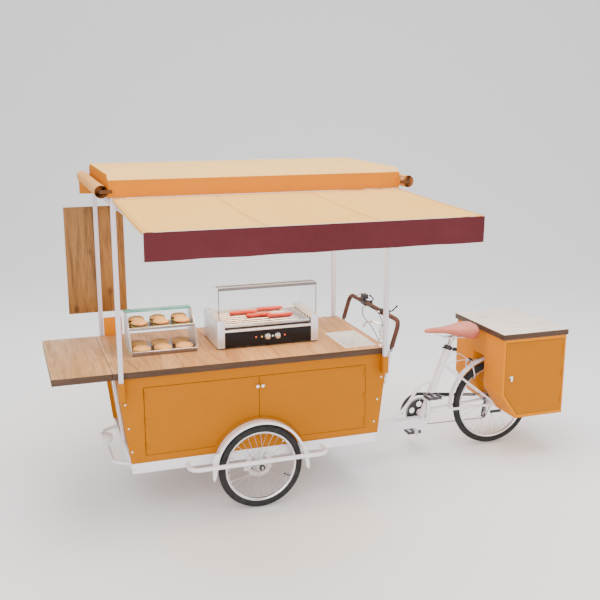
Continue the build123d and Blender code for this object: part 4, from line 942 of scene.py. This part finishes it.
# chainring teeth and bolts
bm = bmesh.new()
c = Vector((0.761, 0.049, 0.265))
for k in range(42):
    a = 2 * pi * k / 42
    add_rod(bm, c + Vector((0.0895 * math.cos(a), 0, 0.0895 * math.sin(a))), c + Vector((0.0925 * math.cos(a), 0, 0.0925 * math.sin(a))), 0.0018, 6)
for k in range(5):
    a = 2 * pi * k / 5 + math.radians(56)
    screw(bm, c + Vector((0.066 * math.cos(a), 0.002, 0.066 * math.sin(a))), (0, 1, 0), 0.0050)
for s in (-1, 1):
    add_lathe(bm, (0.761, s * 0.0878, 0.265), (0, s, 0), [(0.0125, 0), (0.0125, 0.002), (0.0095, 0.0042), (0.0052, 0.0046), (0.005, 0.002), (0, 0.002)], 32)
piece("crank_bolts", bm, "crank", CHROME)

# chain: side plates and rollers along the loop
import_pts = []
C1, R1 = Vector((0.761, 0.265)), 0.0960
C2, R2 = Vector((1.292, 0.297)), 0.0430
C3, R3 = Vector((1.262, 0.182)), 0.0220


def tangent(c0, r0, c1, r1):
    d = c1 - c0
    L = d.length
    a = math.atan2(d.y, d.x)
    b = math.acos((r0 - r1) / L)
    n = Vector((math.cos(a - b), math.sin(a - b)))
    return c0 + n * r0, c1 + n * r1, math.atan2(n.y, n.x)


t13a, t13b, n13 = tangent(C1, R1, C3, R3)
t32a, t32b, n32 = tangent(C3, R3, C2, R2)
t21a, t21b, n21 = tangent(C2, R2, C1, R1)


def arc_pts(c0, r, a0, a1):
    while a1 < a0:
        a1 += 2 * pi
    k = max(2, int(r * (a1 - a0) / 0.002))
    return [c0 + Vector((math.cos(a0 + (a1 - a0) * i / k), math.sin(a0 + (a1 - a0) * i / k))) * r for i in range(k + 1)]


loop = [t13a, t13b] + arc_pts(C3, R3, n13, n32) + [t32b] + arc_pts(C2, R2, n32, n21) + [t21b] + arc_pts(C1, R1, n21, n13)
cum = [0.0]
for a, b in zip(loop, loop[1:]):
    cum.append(cum[-1] + (b - a).length)


def at(s):
    s = s % cum[-1]
    for i in range(len(loop) - 1):
        if cum[i + 1] >= s:
            L = cum[i + 1] - cum[i]
            return loop[i].lerp(loop[i + 1], (s - cum[i]) / L if L else 0)
    return loop[-1]


bm = bmesh.new()
nlinks = int(cum[-1] / 0.0127)
step = cum[-1] / nlinks
for i in range(nlinks):
    p, q = at(i * step), at((i + 1) * step)
    P, Q = Vector((p.x, 0.049, p.y)), Vector((q.x, 0.049, q.y))
    add_rod(bm, P + Vector((0, -0.0030, 0)), P + Vector((0, 0.0030, 0)), 0.0034, 8, 0)
    d = (Q - P).normalized()
    w = Vector((-d.z, 0, d.x)) * 0.0037
    o = 0.0014 if i % 2 else 0.0021
    for s in (-1, 1):
        y0, y1 = s * o, s * (o + 0.0007)
        A = [P - d * 0.0030, P + w - d * 0.001, P + d * 0.0064 + w * 0.62, Q + w + d * 0.001, Q + d * 0.0030, Q - w + d * 0.001, P + d * 0.0064 - w * 0.62, P - w - d * 0.001]
        lo = [bm.verts.new(v + Vector((0, y0, 0))) for v in A]
        hi = [bm.verts.new(v + Vector((0, y1, 0))) for v in A]
        for f in (lo, hi, *[(lo[j], lo[(j + 1) % 8], hi[(j + 1) % 8], hi[j]) for j in range(8)]):
            bm.faces.new(f)
CHAINM = metal("chain_steel", (0.30, 0.29, 0.29), 0.35, (1, 1, 1), 500)
piece("roller_chain", bm, "rear_cycle", CHAINM, ("drive_chain",), 30)

# pedals: cage plates, end frames and reflectors
for s, side, body in ((-1, "near", "near_pedal"), (1, "far", "far_pedal")):
    e = 0.265 - s * 0.170
    bm = bmesh.new()
    y0, y1 = sorted((s * 0.0925, s * 0.1865))
    add_lathe(bm, (0.761, y0, e), (0, 1, 0), [(0.0064, 0), (0.0115, 0), (0.0125, 0.006), (0.0100, 0.018), (0.0100, 0.076), (0.0125, 0.088), (0.0115, 0.094), (0.0064, 0.094)], 28, 0, close=True)
    for sx in (-1, 1):
        add_box(bm, (min(0.761 + sx * 0.0415, 0.761 + sx * 0.0465), y0 + 0.003, e - 0.0125), (max(0.761 + sx * 0.0415, 0.761 + sx * 0.0465), y1 - 0.003, e + 0.0125), 0, 0.0018)
        add_box(bm, (min(0.761 + sx * 0.0462, 0.761 + sx * 0.0472), y0 + 0.026, e - 0.007), (max(0.761 + sx * 0.0462, 0.761 + sx * 0.0472), y1 - 0.026, e + 0.007), 2, 0.0004)
        for k in range(8):
            yy = y0 + 0.008 + k * (y1 - y0 - 0.016) / 7
            for zz in (-1, 1):
                add_lathe(bm, (0.761 + sx * 0.044, yy, e + zz * 0.0120), (0, 0, zz), [(0.0022, 0), (0.0018, 0.0020), (0, 0.0022)], 8, 1)
    for yy in (y0 + 0.001, y1 - 0.007):
        add_box(bm, (0.761 - 0.0455, yy, e - 0.0085), (0.761 + 0.0455, yy + 0.006, e + 0.0085), 0, 0.0018)
    for sx in (-1, 1):
        for k in (0.30, 0.70):
            yy = y0 + (y1 - y0) * k
            add_box(bm, (min(0.761 + sx * 0.009, 0.761 + sx * 0.043), yy - 0.003, e - 0.0045), (max(0.761 + sx * 0.009, 0.761 + sx * 0.043), yy + 0.003, e + 0.0045), 1, 0.0012)
    piece(side + "_pedal_cage", bm, body, [DARKSTEEL, ALLOY, PLASTIC], (side + "_pedal",))

# saddle: one closed, crowned shell with rolled edges and a stitched rim
ST = ((0.762, 0.012, 0.850, 0.837), (0.772, 0.019, 0.857, 0.832), (0.800, 0.024, 0.861, 0.829), (0.850, 0.028, 0.862, 0.826), (0.905, 0.038, 0.863, 0.820), (0.955, 0.058, 0.866, 0.808), (1.005, 0.082, 0.872, 0.793), (1.050, 0.097, 0.877, 0.782), (1.090, 0.100, 0.878, 0.777), (1.118, 0.090, 0.872, 0.781), (1.132, 0.062, 0.860, 0.792), (1.1355, 0.022, 0.846, 0.806))


def spl(tab, t, k):
    t = t * (len(tab) - 1)
    i = min(int(t), len(tab) - 2)
    f = t - i
    p = [tab[max(0, min(len(tab) - 1, i + d))][k] for d in (-1, 0, 1, 2)]
    return 0.5 * ((2 * p[1]) + (-p[0] + p[2]) * f + (2 * p[0] - 5 * p[1] + 4 * p[2] - p[3]) * f * f + (-p[0] + 3 * p[1] - 3 * p[2] + p[3]) * f ** 3)


bm = bmesh.new()
nL, nR = 64, 44
rings = []
for i in range(nL + 1):
    t = i / nL
    x, hw, zt, zb = (spl(ST, t, k) for k in range(4))
    hw = max(hw, 0.004)
    ring = []
    for k in range(nR):
        a = 2 * pi * k / nR
        ca, sa = math.cos(a), math.sin(a)
        y = hw * math.copysign(abs(ca) ** 0.75, ca)
        if sa >= 0:
            z = zb + (zt - zb) * (0.42 + 0.58 * sa ** 0.80)
            z -= 0.0045 * math.exp(-(y / 0.016) ** 2) * math.sin(pi * min(1, max(0, (t - 0.25) / 0.7)))
        else:
            z = zb + (zt - zb) * 0.42 - (zt - zb) * 0.42 * abs(sa) ** 0.6
        ring.append(bm.verts.new((x, y, z)))
    rings.append(ring)
for a, b in zip(rings, rings[1:]):
    for k in range(nR):
        bm.faces.new((a[k], a[(k + 1) % nR], b[(k + 1) % nR], b[k]))
bm.faces.new(rings[0])
bm.faces.new(rings[-1])
o = piece("saddle_cover", bm, "seat", SADDLE, ("saddle",), 70)
bm = bmesh.new()
for s in (-1, 1):
    pts = []
    for i in range(4, 61):
        t = i / nL
        x, hw, zt, zb = (spl(ST, t, k) for k in range(4))
        a = 0.24
        y = s * hw * math.cos(a) ** 0.75
        z = zb + (zt - zb) * (0.42 + 0.58 * math.sin(a) ** 0.80)
        pts.append(Vector((x, y * 1.002, z + 0.0003)))
    for p, q in zip(pts, pts[1:]):
        k = max(1, int((q - p).length / 0.0045))
        for j in range(k):
            a, b = p.lerp(q, (j + 0.15) / k), p.lerp(q, (j + 0.80) / k)
            add_rod(bm, a, b, 0.0007, 5)
piece("saddle_stitches", bm, "seat", THREAD)
bm = bmesh.new()
for y in (-0.034, 0.034):
    sweep_ring(bm, rounded_path([(1.075, y, 0.797), (1.05, y, 0.783), (0.99, y * 0.62, 0.790), (0.90, y * 0.62, 0.790), (0.83, y * 0.35, 0.831)], 0.03), 0.0035, 10)
piece("saddle_rails", bm, "seat", CHROME)

# rear brake: barrel, arms' bolts, and white hose loops
bm = bmesh.new()
for s in (-1, 1):
    add_lathe(bm, (1.112, s * 0.004, 0.612), (0, s, 0), [(0.009, 0), (0.012, 0.002), (0.012, 0.010), (0.008, 0.012)], 24)
    add_box(bm, (1.124, min(s * 0.0186, s * 0.0235), 0.482), (1.148, max(s * 0.0186, s * 0.0235), 0.502), 0, 0.002)
piece("rear_brake_pads", bm, "rear_cycle", BLACK)
HOSES = (
    ("rear_hose_a", ((0.912, 0, 0.600), (0.935, 0.004, 0.640), (0.985, 0.010, 0.668), (1.040, 0.010, 0.660), (1.075, 0.006, 0.630), (1.098, 0.004, 0.616))),
    ("rear_hose_b", ((0.908, -0.010, 0.585), (0.960, -0.020, 0.612), (1.010, -0.022, 0.625), (1.060, -0.014, 0.622), (1.100, -0.008, 0.612))),
)
for name, pts in HOSES:
    bm = bmesh.new()
    sweep_ring(bm, rounded_path(pts, 0.09, 10), 0.0022, 10)
    piece(name, bm, "rear_cycle", WHITEPART)

# axle nuts, and a bracket at the axle
bm = bmesh.new()
for s in (-1, 1):
    add_lathe(bm, (1.292, s * 0.0692, 0.297), (0, s, 0), [(0.0105, 0), (0.0105, 0.0015), (0.0085, 0.003), (0, 0.003)], 6)
piece("axle_nuts", bm, "rear_cycle", CHROME)
bm = bmesh.new()
add_box(bm, (1.244, -0.0722, 0.236), (1.330, -0.0642, 0.257), 0, 0.004, 3)
piece("axle_stand_bracket", bm, "rear_cycle", BLACK)

# ------------------------------------------------------------------ rear box
# the box body takes the painted-light copy of the orange paint; its door keeps the plain orange
soften("rear_box", ORANGE_LIT, 0.0015)
soften("rear_box_door", [ORANGE, CHROME], 0.0015, pick=lambda c, n: 1 if (c.y < -0.3105 and c.x < 1.3) else 0)
soften("rear_box_lid", [LIDWOOD, EDGE], 0.0020, pick=top_pick)
soften("rear_box_latch", CHROME, 0.0018, 3)

# ------------------------------------------------------------------ roller grill
GX0, GX1, GY0, GY1, GZ = -0.681, -0.049, -0.152, 0.200, 0.891


def grill_pick(c, n):
    if c.y < -0.1365 and GX0 + 0.0445 < c.x < GX1 - 0.0445 and GZ + 0.0115 < c.z < GZ + 0.1005:
        return 1
    if c.z < GZ + 0.0075:
        return 2
    if GX0 + 0.0425 < c.x < GX1 - 0.0425 and c.y > -0.139 and (0.1085 < c.z - GZ < 0.118 and abs(n.z) > 0.6):
        return 3
    return 0


soften("grill_body", [STEEL, PANELBLK, PLASTIC, DARKSTEEL], 0.0018, 3, pick=grill_pick)
bm = bmesh.new()
for side, sx in ((GX0, -1), (GX1, 1)):
    for col in range(3):
        for row in range(6):
            y0 = GY0 + 0.062 + col * 0.082
            z0 = GZ + 0.040 + row * 0.018
            x0, x1 = sorted((side - sx * 0.0002, side + sx * 0.0014))
            add_box(bm, (x0, y0, z0), (x1, y0 + 0.062, z0 + 0.0045), 0, 0.0010)
            # painted shade: a black strip under each slat stands in for the shade in the louvre's slot
            x0, x1 = sorted((side + sx * 0.0001, side + sx * 0.0006))
            add_box(bm, (x0, y0 + 0.002, z0 - 0.0035), (x1, y0 + 0.060, z0), 1)
piece("grill_louvres", bm, "cart", [STEEL, PANELBLK])
bm = bmesh.new()
# drip lip over the control panel, and roller bearings at each end
add_box(bm, (GX0 + 0.044, GY0 + 0.002, GZ + 0.101), (GX1 - 0.044, GY0 + 0.030, GZ + 0.1145), 0, 0.003, 3)
for i in range(7):
    y = -0.124 + 0.046 * i
    for x, sx in ((GX0 + 0.0440, 1), (GX1 - 0.0440, -1)):
        add_lathe(bm, (x, y, GZ + 0.137), (sx, 0, 0), [(0.0070, 0), (0.0168, 0), (0.0168, 0.0022), (0.0140, 0.0034), (0.0070, 0.0034)], 28, 1)
piece("grill_trim", bm, "cart", [STEEL, PANELBLK])
bm = bmesh.new()
for i in range(7):
    y = -0.124 + 0.046 * i
    prof = [(0.004, 0), (0.0118, 0.0005)]
    L = (GX1 - 0.0480) - (GX0 + 0.0480)
    prof += [(0.0124, 0.002), (0.0124, L - 0.002), (0.0118, L - 0.0005), (0.004, L)]
    add_lathe(bm, (GX0 + 0.0480, y, GZ + 0.137), (1, 0, 0), prof, 40)
ROLLM = metal("roller_steel", (0.58, 0.58, 0.62), 0.15, (0.03, 1, 1), 1500, 0.05)
ROLLM.tint(ROLLM.ramp(ROLLM.noise((22, 160, 160), 4), 0.58, 0.80, 0, 0.25), (0.45, 0.42, 0.42))
piece("heated_rollers", bm, "cart", ROLLM, ("grill_rollers",))
for x, side in ((-0.370, "left"), (-0.307, "right")):
    bm = bmesh.new()
    add_lathe(bm, (x, GY0 + 0.0045, GZ + 0.058), (0, -1, 0), [(0, -0.008), (0.0038, -0.008), (0.0038, 0), (0.0169, 0), (0.0169, 0.0020), (0.0158, 0.0026), (0.0152, 0.0108), (0.0136, 0.0130), (0.0095, 0.0134), (0, 0.0134)], 40, 0,
              mod=lambda i, k, r, h: (r - (0.0007 if i % 2 and k in (5, 6) else 0), h))
    add_box(bm, (x - 0.0012, GY0 - 0.0098, GZ + 0.059), (x + 0.0012, GY0 - 0.0086, GZ + 0.0712), 1)
    piece("dial_" + side, bm, "grill_knob_" + side, [CHROME, PANELBLK], ("grill_knob_" + side,))
bm = bmesh.new()
for i, x in enumerate((-0.370, -0.307)):
    for k in range(11):
        a = math.radians(-60 + 30 * k)
        p = Vector((x + 0.0188 * math.sin(a + pi), GY0 + 0.0049, GZ + 0.058 + 0.0188 * math.cos(a + pi)))
        q = Vector((x + 0.0210 * math.sin(a + pi), GY0 + 0.0049, GZ + 0.058 + 0.0210 * math.cos(a + pi)))
        add_rod(bm, p, q, 0.0006, 5, 0)
piece("dial_marks", bm, "cart", WHITEPART)
for name, x, m in (("grill_lamp_a", -0.443, RED_LAMP), ("grill_lamp_b", -0.407, AMBER_LAMP), ("grill_lamp_c", -0.3385, WHITE_LAMP), ("grill_lamp_d", -0.262, RED_LAMP)):
    bm = bmesh.new()
    add_lathe(bm, (x, GY0 + 0.0052, GZ + 0.060), (0, -1, 0), [(0.0052, 0), (0.0052, 0.0015), (0.0040, 0.0024), (0.0036, 0.0040), (0, 0.0052)], 24)
    piece(name, bm, "cart", m)

# hood: bent clear sheet, end sheets, and grey rails
HO = [(-0.148, 0.177), (-0.148, 0.374), (-0.096, 0.381), (-0.020, 0.372), (0.060, 0.338), (0.126, 0.280), (0.170, 0.220), (0.188, 0.177)]


def arc_profile():
    pts = [(-0.148, 0.177), (-0.148, 0.300), (-0.148, 0.360), (-0.1455, 0.3715), (-0.137, 0.3775)]
    ctrl = [(-0.118, 0.380), (-0.096, 0.3805), (-0.020, 0.371), (0.060, 0.337), (0.126, 0.279), (0.170, 0.219), (0.1875, 0.178)]
    n = 26
    for i in range(n + 1):
        t = i / n * (len(ctrl) - 1)
        j = min(int(t), len(ctrl) - 2)
        f = t - j
        p = [Vector(ctrl[max(0, min(len(ctrl) - 1, j + d))]) for d in (-1, 0, 1, 2)]
        v = 0.5 * ((2 * p[1]) + (-p[0] + p[2]) * f + (2 * p[0] - 5 * p[1] + 4 * p[2] - p[3]) * f * f + (-p[0] + 3 * p[1] - 3 * p[2] + p[3]) * f ** 3)
        pts.append((v.x, v.y))
    return pts


prof = arc_profile()
hx0, hx1, th = GX0 + 0.009, GX1 - 0.009, 0.0030
bm = bmesh.new()


def offset_in(pts, d):
    out = []
    for i, p in enumerate(pts):
        a = Vector(pts[max(0, i - 1)])
        b = Vector(pts[min(len(pts) - 1, i + 1)])
        t = (b - a).normalized()
        out.append((p[0] + t.y * d, p[1] - t.x * d))
    return out


inner = offset_in(prof, th)
rows = []
for x in (hx0, hx1):
    rows.append(([bm.verts.new((x, y, GZ + z)) for y, z in prof], [bm.verts.new((x, y, GZ + z)) for y, z in inner]))
(oa, ia), (ob, ib) = rows
for k in range(len(prof) - 1):
    bm.faces.new((oa[k], oa[k + 1], ob[k + 1], ob[k]))
    bm.faces.new((ia[k], ib[k], ib[k + 1], ia[k + 1]))
    bm.faces.new((oa[k], ia[k], ia[k + 1], oa[k + 1]))
    bm.faces.new((ob[k], ob[k + 1], ib[k + 1], ib[k]))
bm.faces.new((oa[0], ob[0], ib[0], ia[0]))
bm.faces.new((oa[-1], ia[-1], ib[-1], ob[-1]))
piece("hood_sheet", bm, "grill_hood", GLASS, ("grill_hood",), 40)
bm = bmesh.new()
for x0 in (hx0 + 0.0035, hx1 - 0.0065):
    cen = (0.0, 0.25)
    a = [bm.verts.new((x0, y * 0.97, GZ + 0.177 + (z - 0.177) * 0.972)) for y, z in prof]
    b = [bm.verts.new((x0 + 0.003, y * 0.97, GZ + 0.177 + (z - 0.177) * 0.972)) for y, z in prof]
    bm.faces.new(a)
    bm.faces.new(b)
    n = len(a)
    for k in range(n):
        bm.faces.new((a[k], a[(k + 1) % n], b[(k + 1) % n], b[k]))
piece("hood_ends", bm, "grill_hood", GLASS, (), 40)
bm = bmesh.new()
add_box(bm, (hx0 + 0.0005, -0.1465, GZ + 0.3560), (hx1 - 0.0005, -0.1385, GZ + 0.3735), 0, 0.0015)
add_box(bm, (hx0 + 0.0005, -0.104, GZ + 0.3690), (hx1 - 0.0005, -0.088, GZ + 0.3765), 0, 0.0015)
for x in (hx0 + 0.0008, hx1 - 0.0058):
    add_box(bm, (x, -0.1465, GZ + 0.178), (x + 0.005, -0.1425, GZ + 0.372), 0, 0.0010)
piece("hood_rails", bm, "grill_hood", RAILGREY)

# ------------------------------------------------------------------ food
rnd = random.Random(5)
bm = bmesh.new()
for x0, x1, y in ((-0.536, -0.380, 0.083), (-0.344, -0.200, 0.129), (-0.456, -0.320, -0.009), (-0.332, -0.192, -0.055)):
    L = x1 - x0
    prof_s = []
    for k in range(9):
        a = pi / 2 * k / 8
        prof_s.append((0.0118 * math.sin(a), 0.0118 * (1 - math.cos(a))))
    for k in range(1, 20):
        prof_s.append((0.0118 + 0.0004 * math.sin(k * 1.7 + x0 * 50), 0.0118 + L * k / 20))
    for k in range(9):
        a = pi / 2 * (1 - k / 8)
        prof_s.append((0.0118 * math.sin(a), L + 0.0118 + 0.0118 * math.cos(a) - 0.0))
    add_lathe(bm, (x0 - 0.0118, y, GZ + 0.1616), (1, 0, 0), prof_s, 28)
    for e in (x0 - 0.0118, x1 + 0.0118):
        add_lathe(bm, (e, y, GZ + 0.1616), (1 if e > x0 else -1, 0, 0), [(0.0022, -0.001), (0.0016, 0.0012), (0, 0.0016)], 10)
piece("sausages_skin", bm, "cart", SAUSAGE, ("display_food",), 60)


def burger(x, y, z, tag, topped, r):
    bm = bmesh.new()
    ph = rnd.random() * 6

    def wob(amp, n):
        return lambda i, k, rr, hh: (rr * (1 + amp * math.sin(n * 2 * pi * i / 48 + ph)), hh)

    add_lathe(bm, (x, y, z), (0, 0, 1), [(0, 0.0005), (r * 0.72, 0.0005), (r * 0.90, 0.002), (r * 0.96, 0.006), (r * 0.96, 0.010), (r * 0.93, 0.0125)], 48, lambda i, k: 1 if k == 5 else 0, mod=wob(0.015, 3))
    if topped:
        # salad leaf with a frilled edge, patty, tomato
        prof_l = [(r * f, 0.0128 + 0.001 * f) for f in (0.3, 0.6, 0.85, 0.95, 1.0)]
        add_lathe(bm, (x, y, z), (0, 0, 1), prof_l + [(rr * 0.99, h + 0.0016) for rr, h in reversed(prof_l)], 48, 2, close=True,
                  mod=lambda i, k, rr, hh: (rr * (1 + 0.012 * math.sin(i * 1.9 + ph)), hh + (0.0032 * math.sin(i * 1.31 + ph) * (rr / r) ** 3)))
        add_lathe(bm, (x, y, z), (0, 0, 1), [(r * 0.5, 0.0155), (r * 0.93, 0.0160), (r * 0.97, 0.0185), (r * 0.92, 0.0225), (r * 0.5, 0.0230)], 48, 3, close=True,
                  mod=lambda i, k, rr, hh: (rr * (1 + 0.014 * math.sin(i * 2.3 + ph)), hh))
        add_lathe(bm, (x + 0.004, y - 0.003, z), (0, 0, 1), [(r * 0.5, 0.0232), (r * 0.86, 0.0232), (r * 0.86, 0.0258), (r * 0.5, 0.0262)], 40, 4, close=True)
        zt = 0.0255
    else:
        zt = 0.0135
    hgt = 0.0195 if topped else 0.0240
    prof_t = [(r * 0.5, zt), (r * 0.90, zt), (r * 0.975, zt + 0.003)]
    for k in range(1, 11):
        a = pi / 2 * k / 10
        prof_t.append((r * 0.985 * math.cos(a) ** 0.8 if k < 10 else 0.0, zt + 0.003 + (hgt - 0.003) * math.sin(a)))
    add_lathe(bm, (x, y, z), (0, 0, 1), prof_t, 48, 0, mod=lambda i, k, rr, hh: (rr * (1 + 0.012 * math.sin(3 * 2 * pi * i / 48 + ph + 1)), hh))
    for _ in range(38):
        a, q = rnd.random() * 2 * pi, math.sqrt(rnd.random()) * 0.78
        px, py = x + r * q * math.cos(a), y + r * q * math.sin(a)
        pz = z + zt + 0.003 + (hgt - 0.003) * math.sqrt(max(0, 1 - (q / 0.985) ** 2.5)) - 0.0002
        d = Vector((math.cos(a * 3.3), math.sin(a * 3.3), 0)) * 0.0014
        add_rod(bm, Vector((px, py, pz)) - d, Vector((px, py, pz + 0.0002)) + d, 0.0009, 5, 5, 0.0004)
    piece("bun_" + tag, bm, "cart", [BUN, CRUMB, LEAF, PATTY, TOMATO, SEED], ("display_food",), 50)


n = 0
for x in (-1.117, -0.990, -0.863):
    for y, z, topped, r in ((-0.062, 0.899, False, 0.0550), (0.056, 0.899, False, 0.0550), (-0.0045, 1.032, True, 0.0490), (0.097, 1.032, True, 0.0490)):
        n += 1
        burger(x + rnd.uniform(-0.002, 0.002), y + rnd.uniform(-0.0012, 0.0012), z + 0.0002, str(n), topped, r)

# ------------------------------------------------------------------ display stand
# painted shade: the stand's tray steel is darkened to a brown grey for the shade inside the stand
TRAY_SHADE = metal("tray_steel_painted_shade", (0.26, 0.22, 0.21), 0.36, (1, 0.05, 1), 1200)
LIP = metal("lip_steel", (0.13, 0.085, 0.075), 0.38, (0.05, 1, 1), 1200)
soften("display_stand", [TRAY_SHADE, STEEL, TEAL, LIP], 0.0008, pick=lambda c, n: 2 if c.z > 1.1095 else (3 if c.y < -0.1205 and c.z < 0.9065 else (1 if abs(n.x) > 0.9 else 0)))
bm = bmesh.new()
sx0, sx1 = -1.184, -0.796
add_box(bm, (sx0 - 0.014, 0.056, 1.1175), (sx1 + 0.002, 0.110, 1.1225), 0, 0.0010)
piece("stand_glass_top", bm, "cart", TEAL)
bm = bmesh.new()
for y, z in ((-0.1245, 0.916), (-0.0585, 1.044)):
    sweep_ring(bm, [(sx0 + 0.002, y, z), (sx1 - 0.002, y, z)], 0.0028, 14)
for x in (sx0 - 0.0005, sx1 + 0.0005):
    sweep_ring(bm, rounded_path([(x, -0.122, 0.894), (x, -0.122, 0.928), (x, -0.052, 1.042), (x, 0.060, 1.118), (x, 0.100, 1.118), (x, 0.131, 1.097), (x, 0.131, 0.894)], 0.012), 0.0030, 12)
piece("stand_wire_edges", bm, "cart", CHROME)
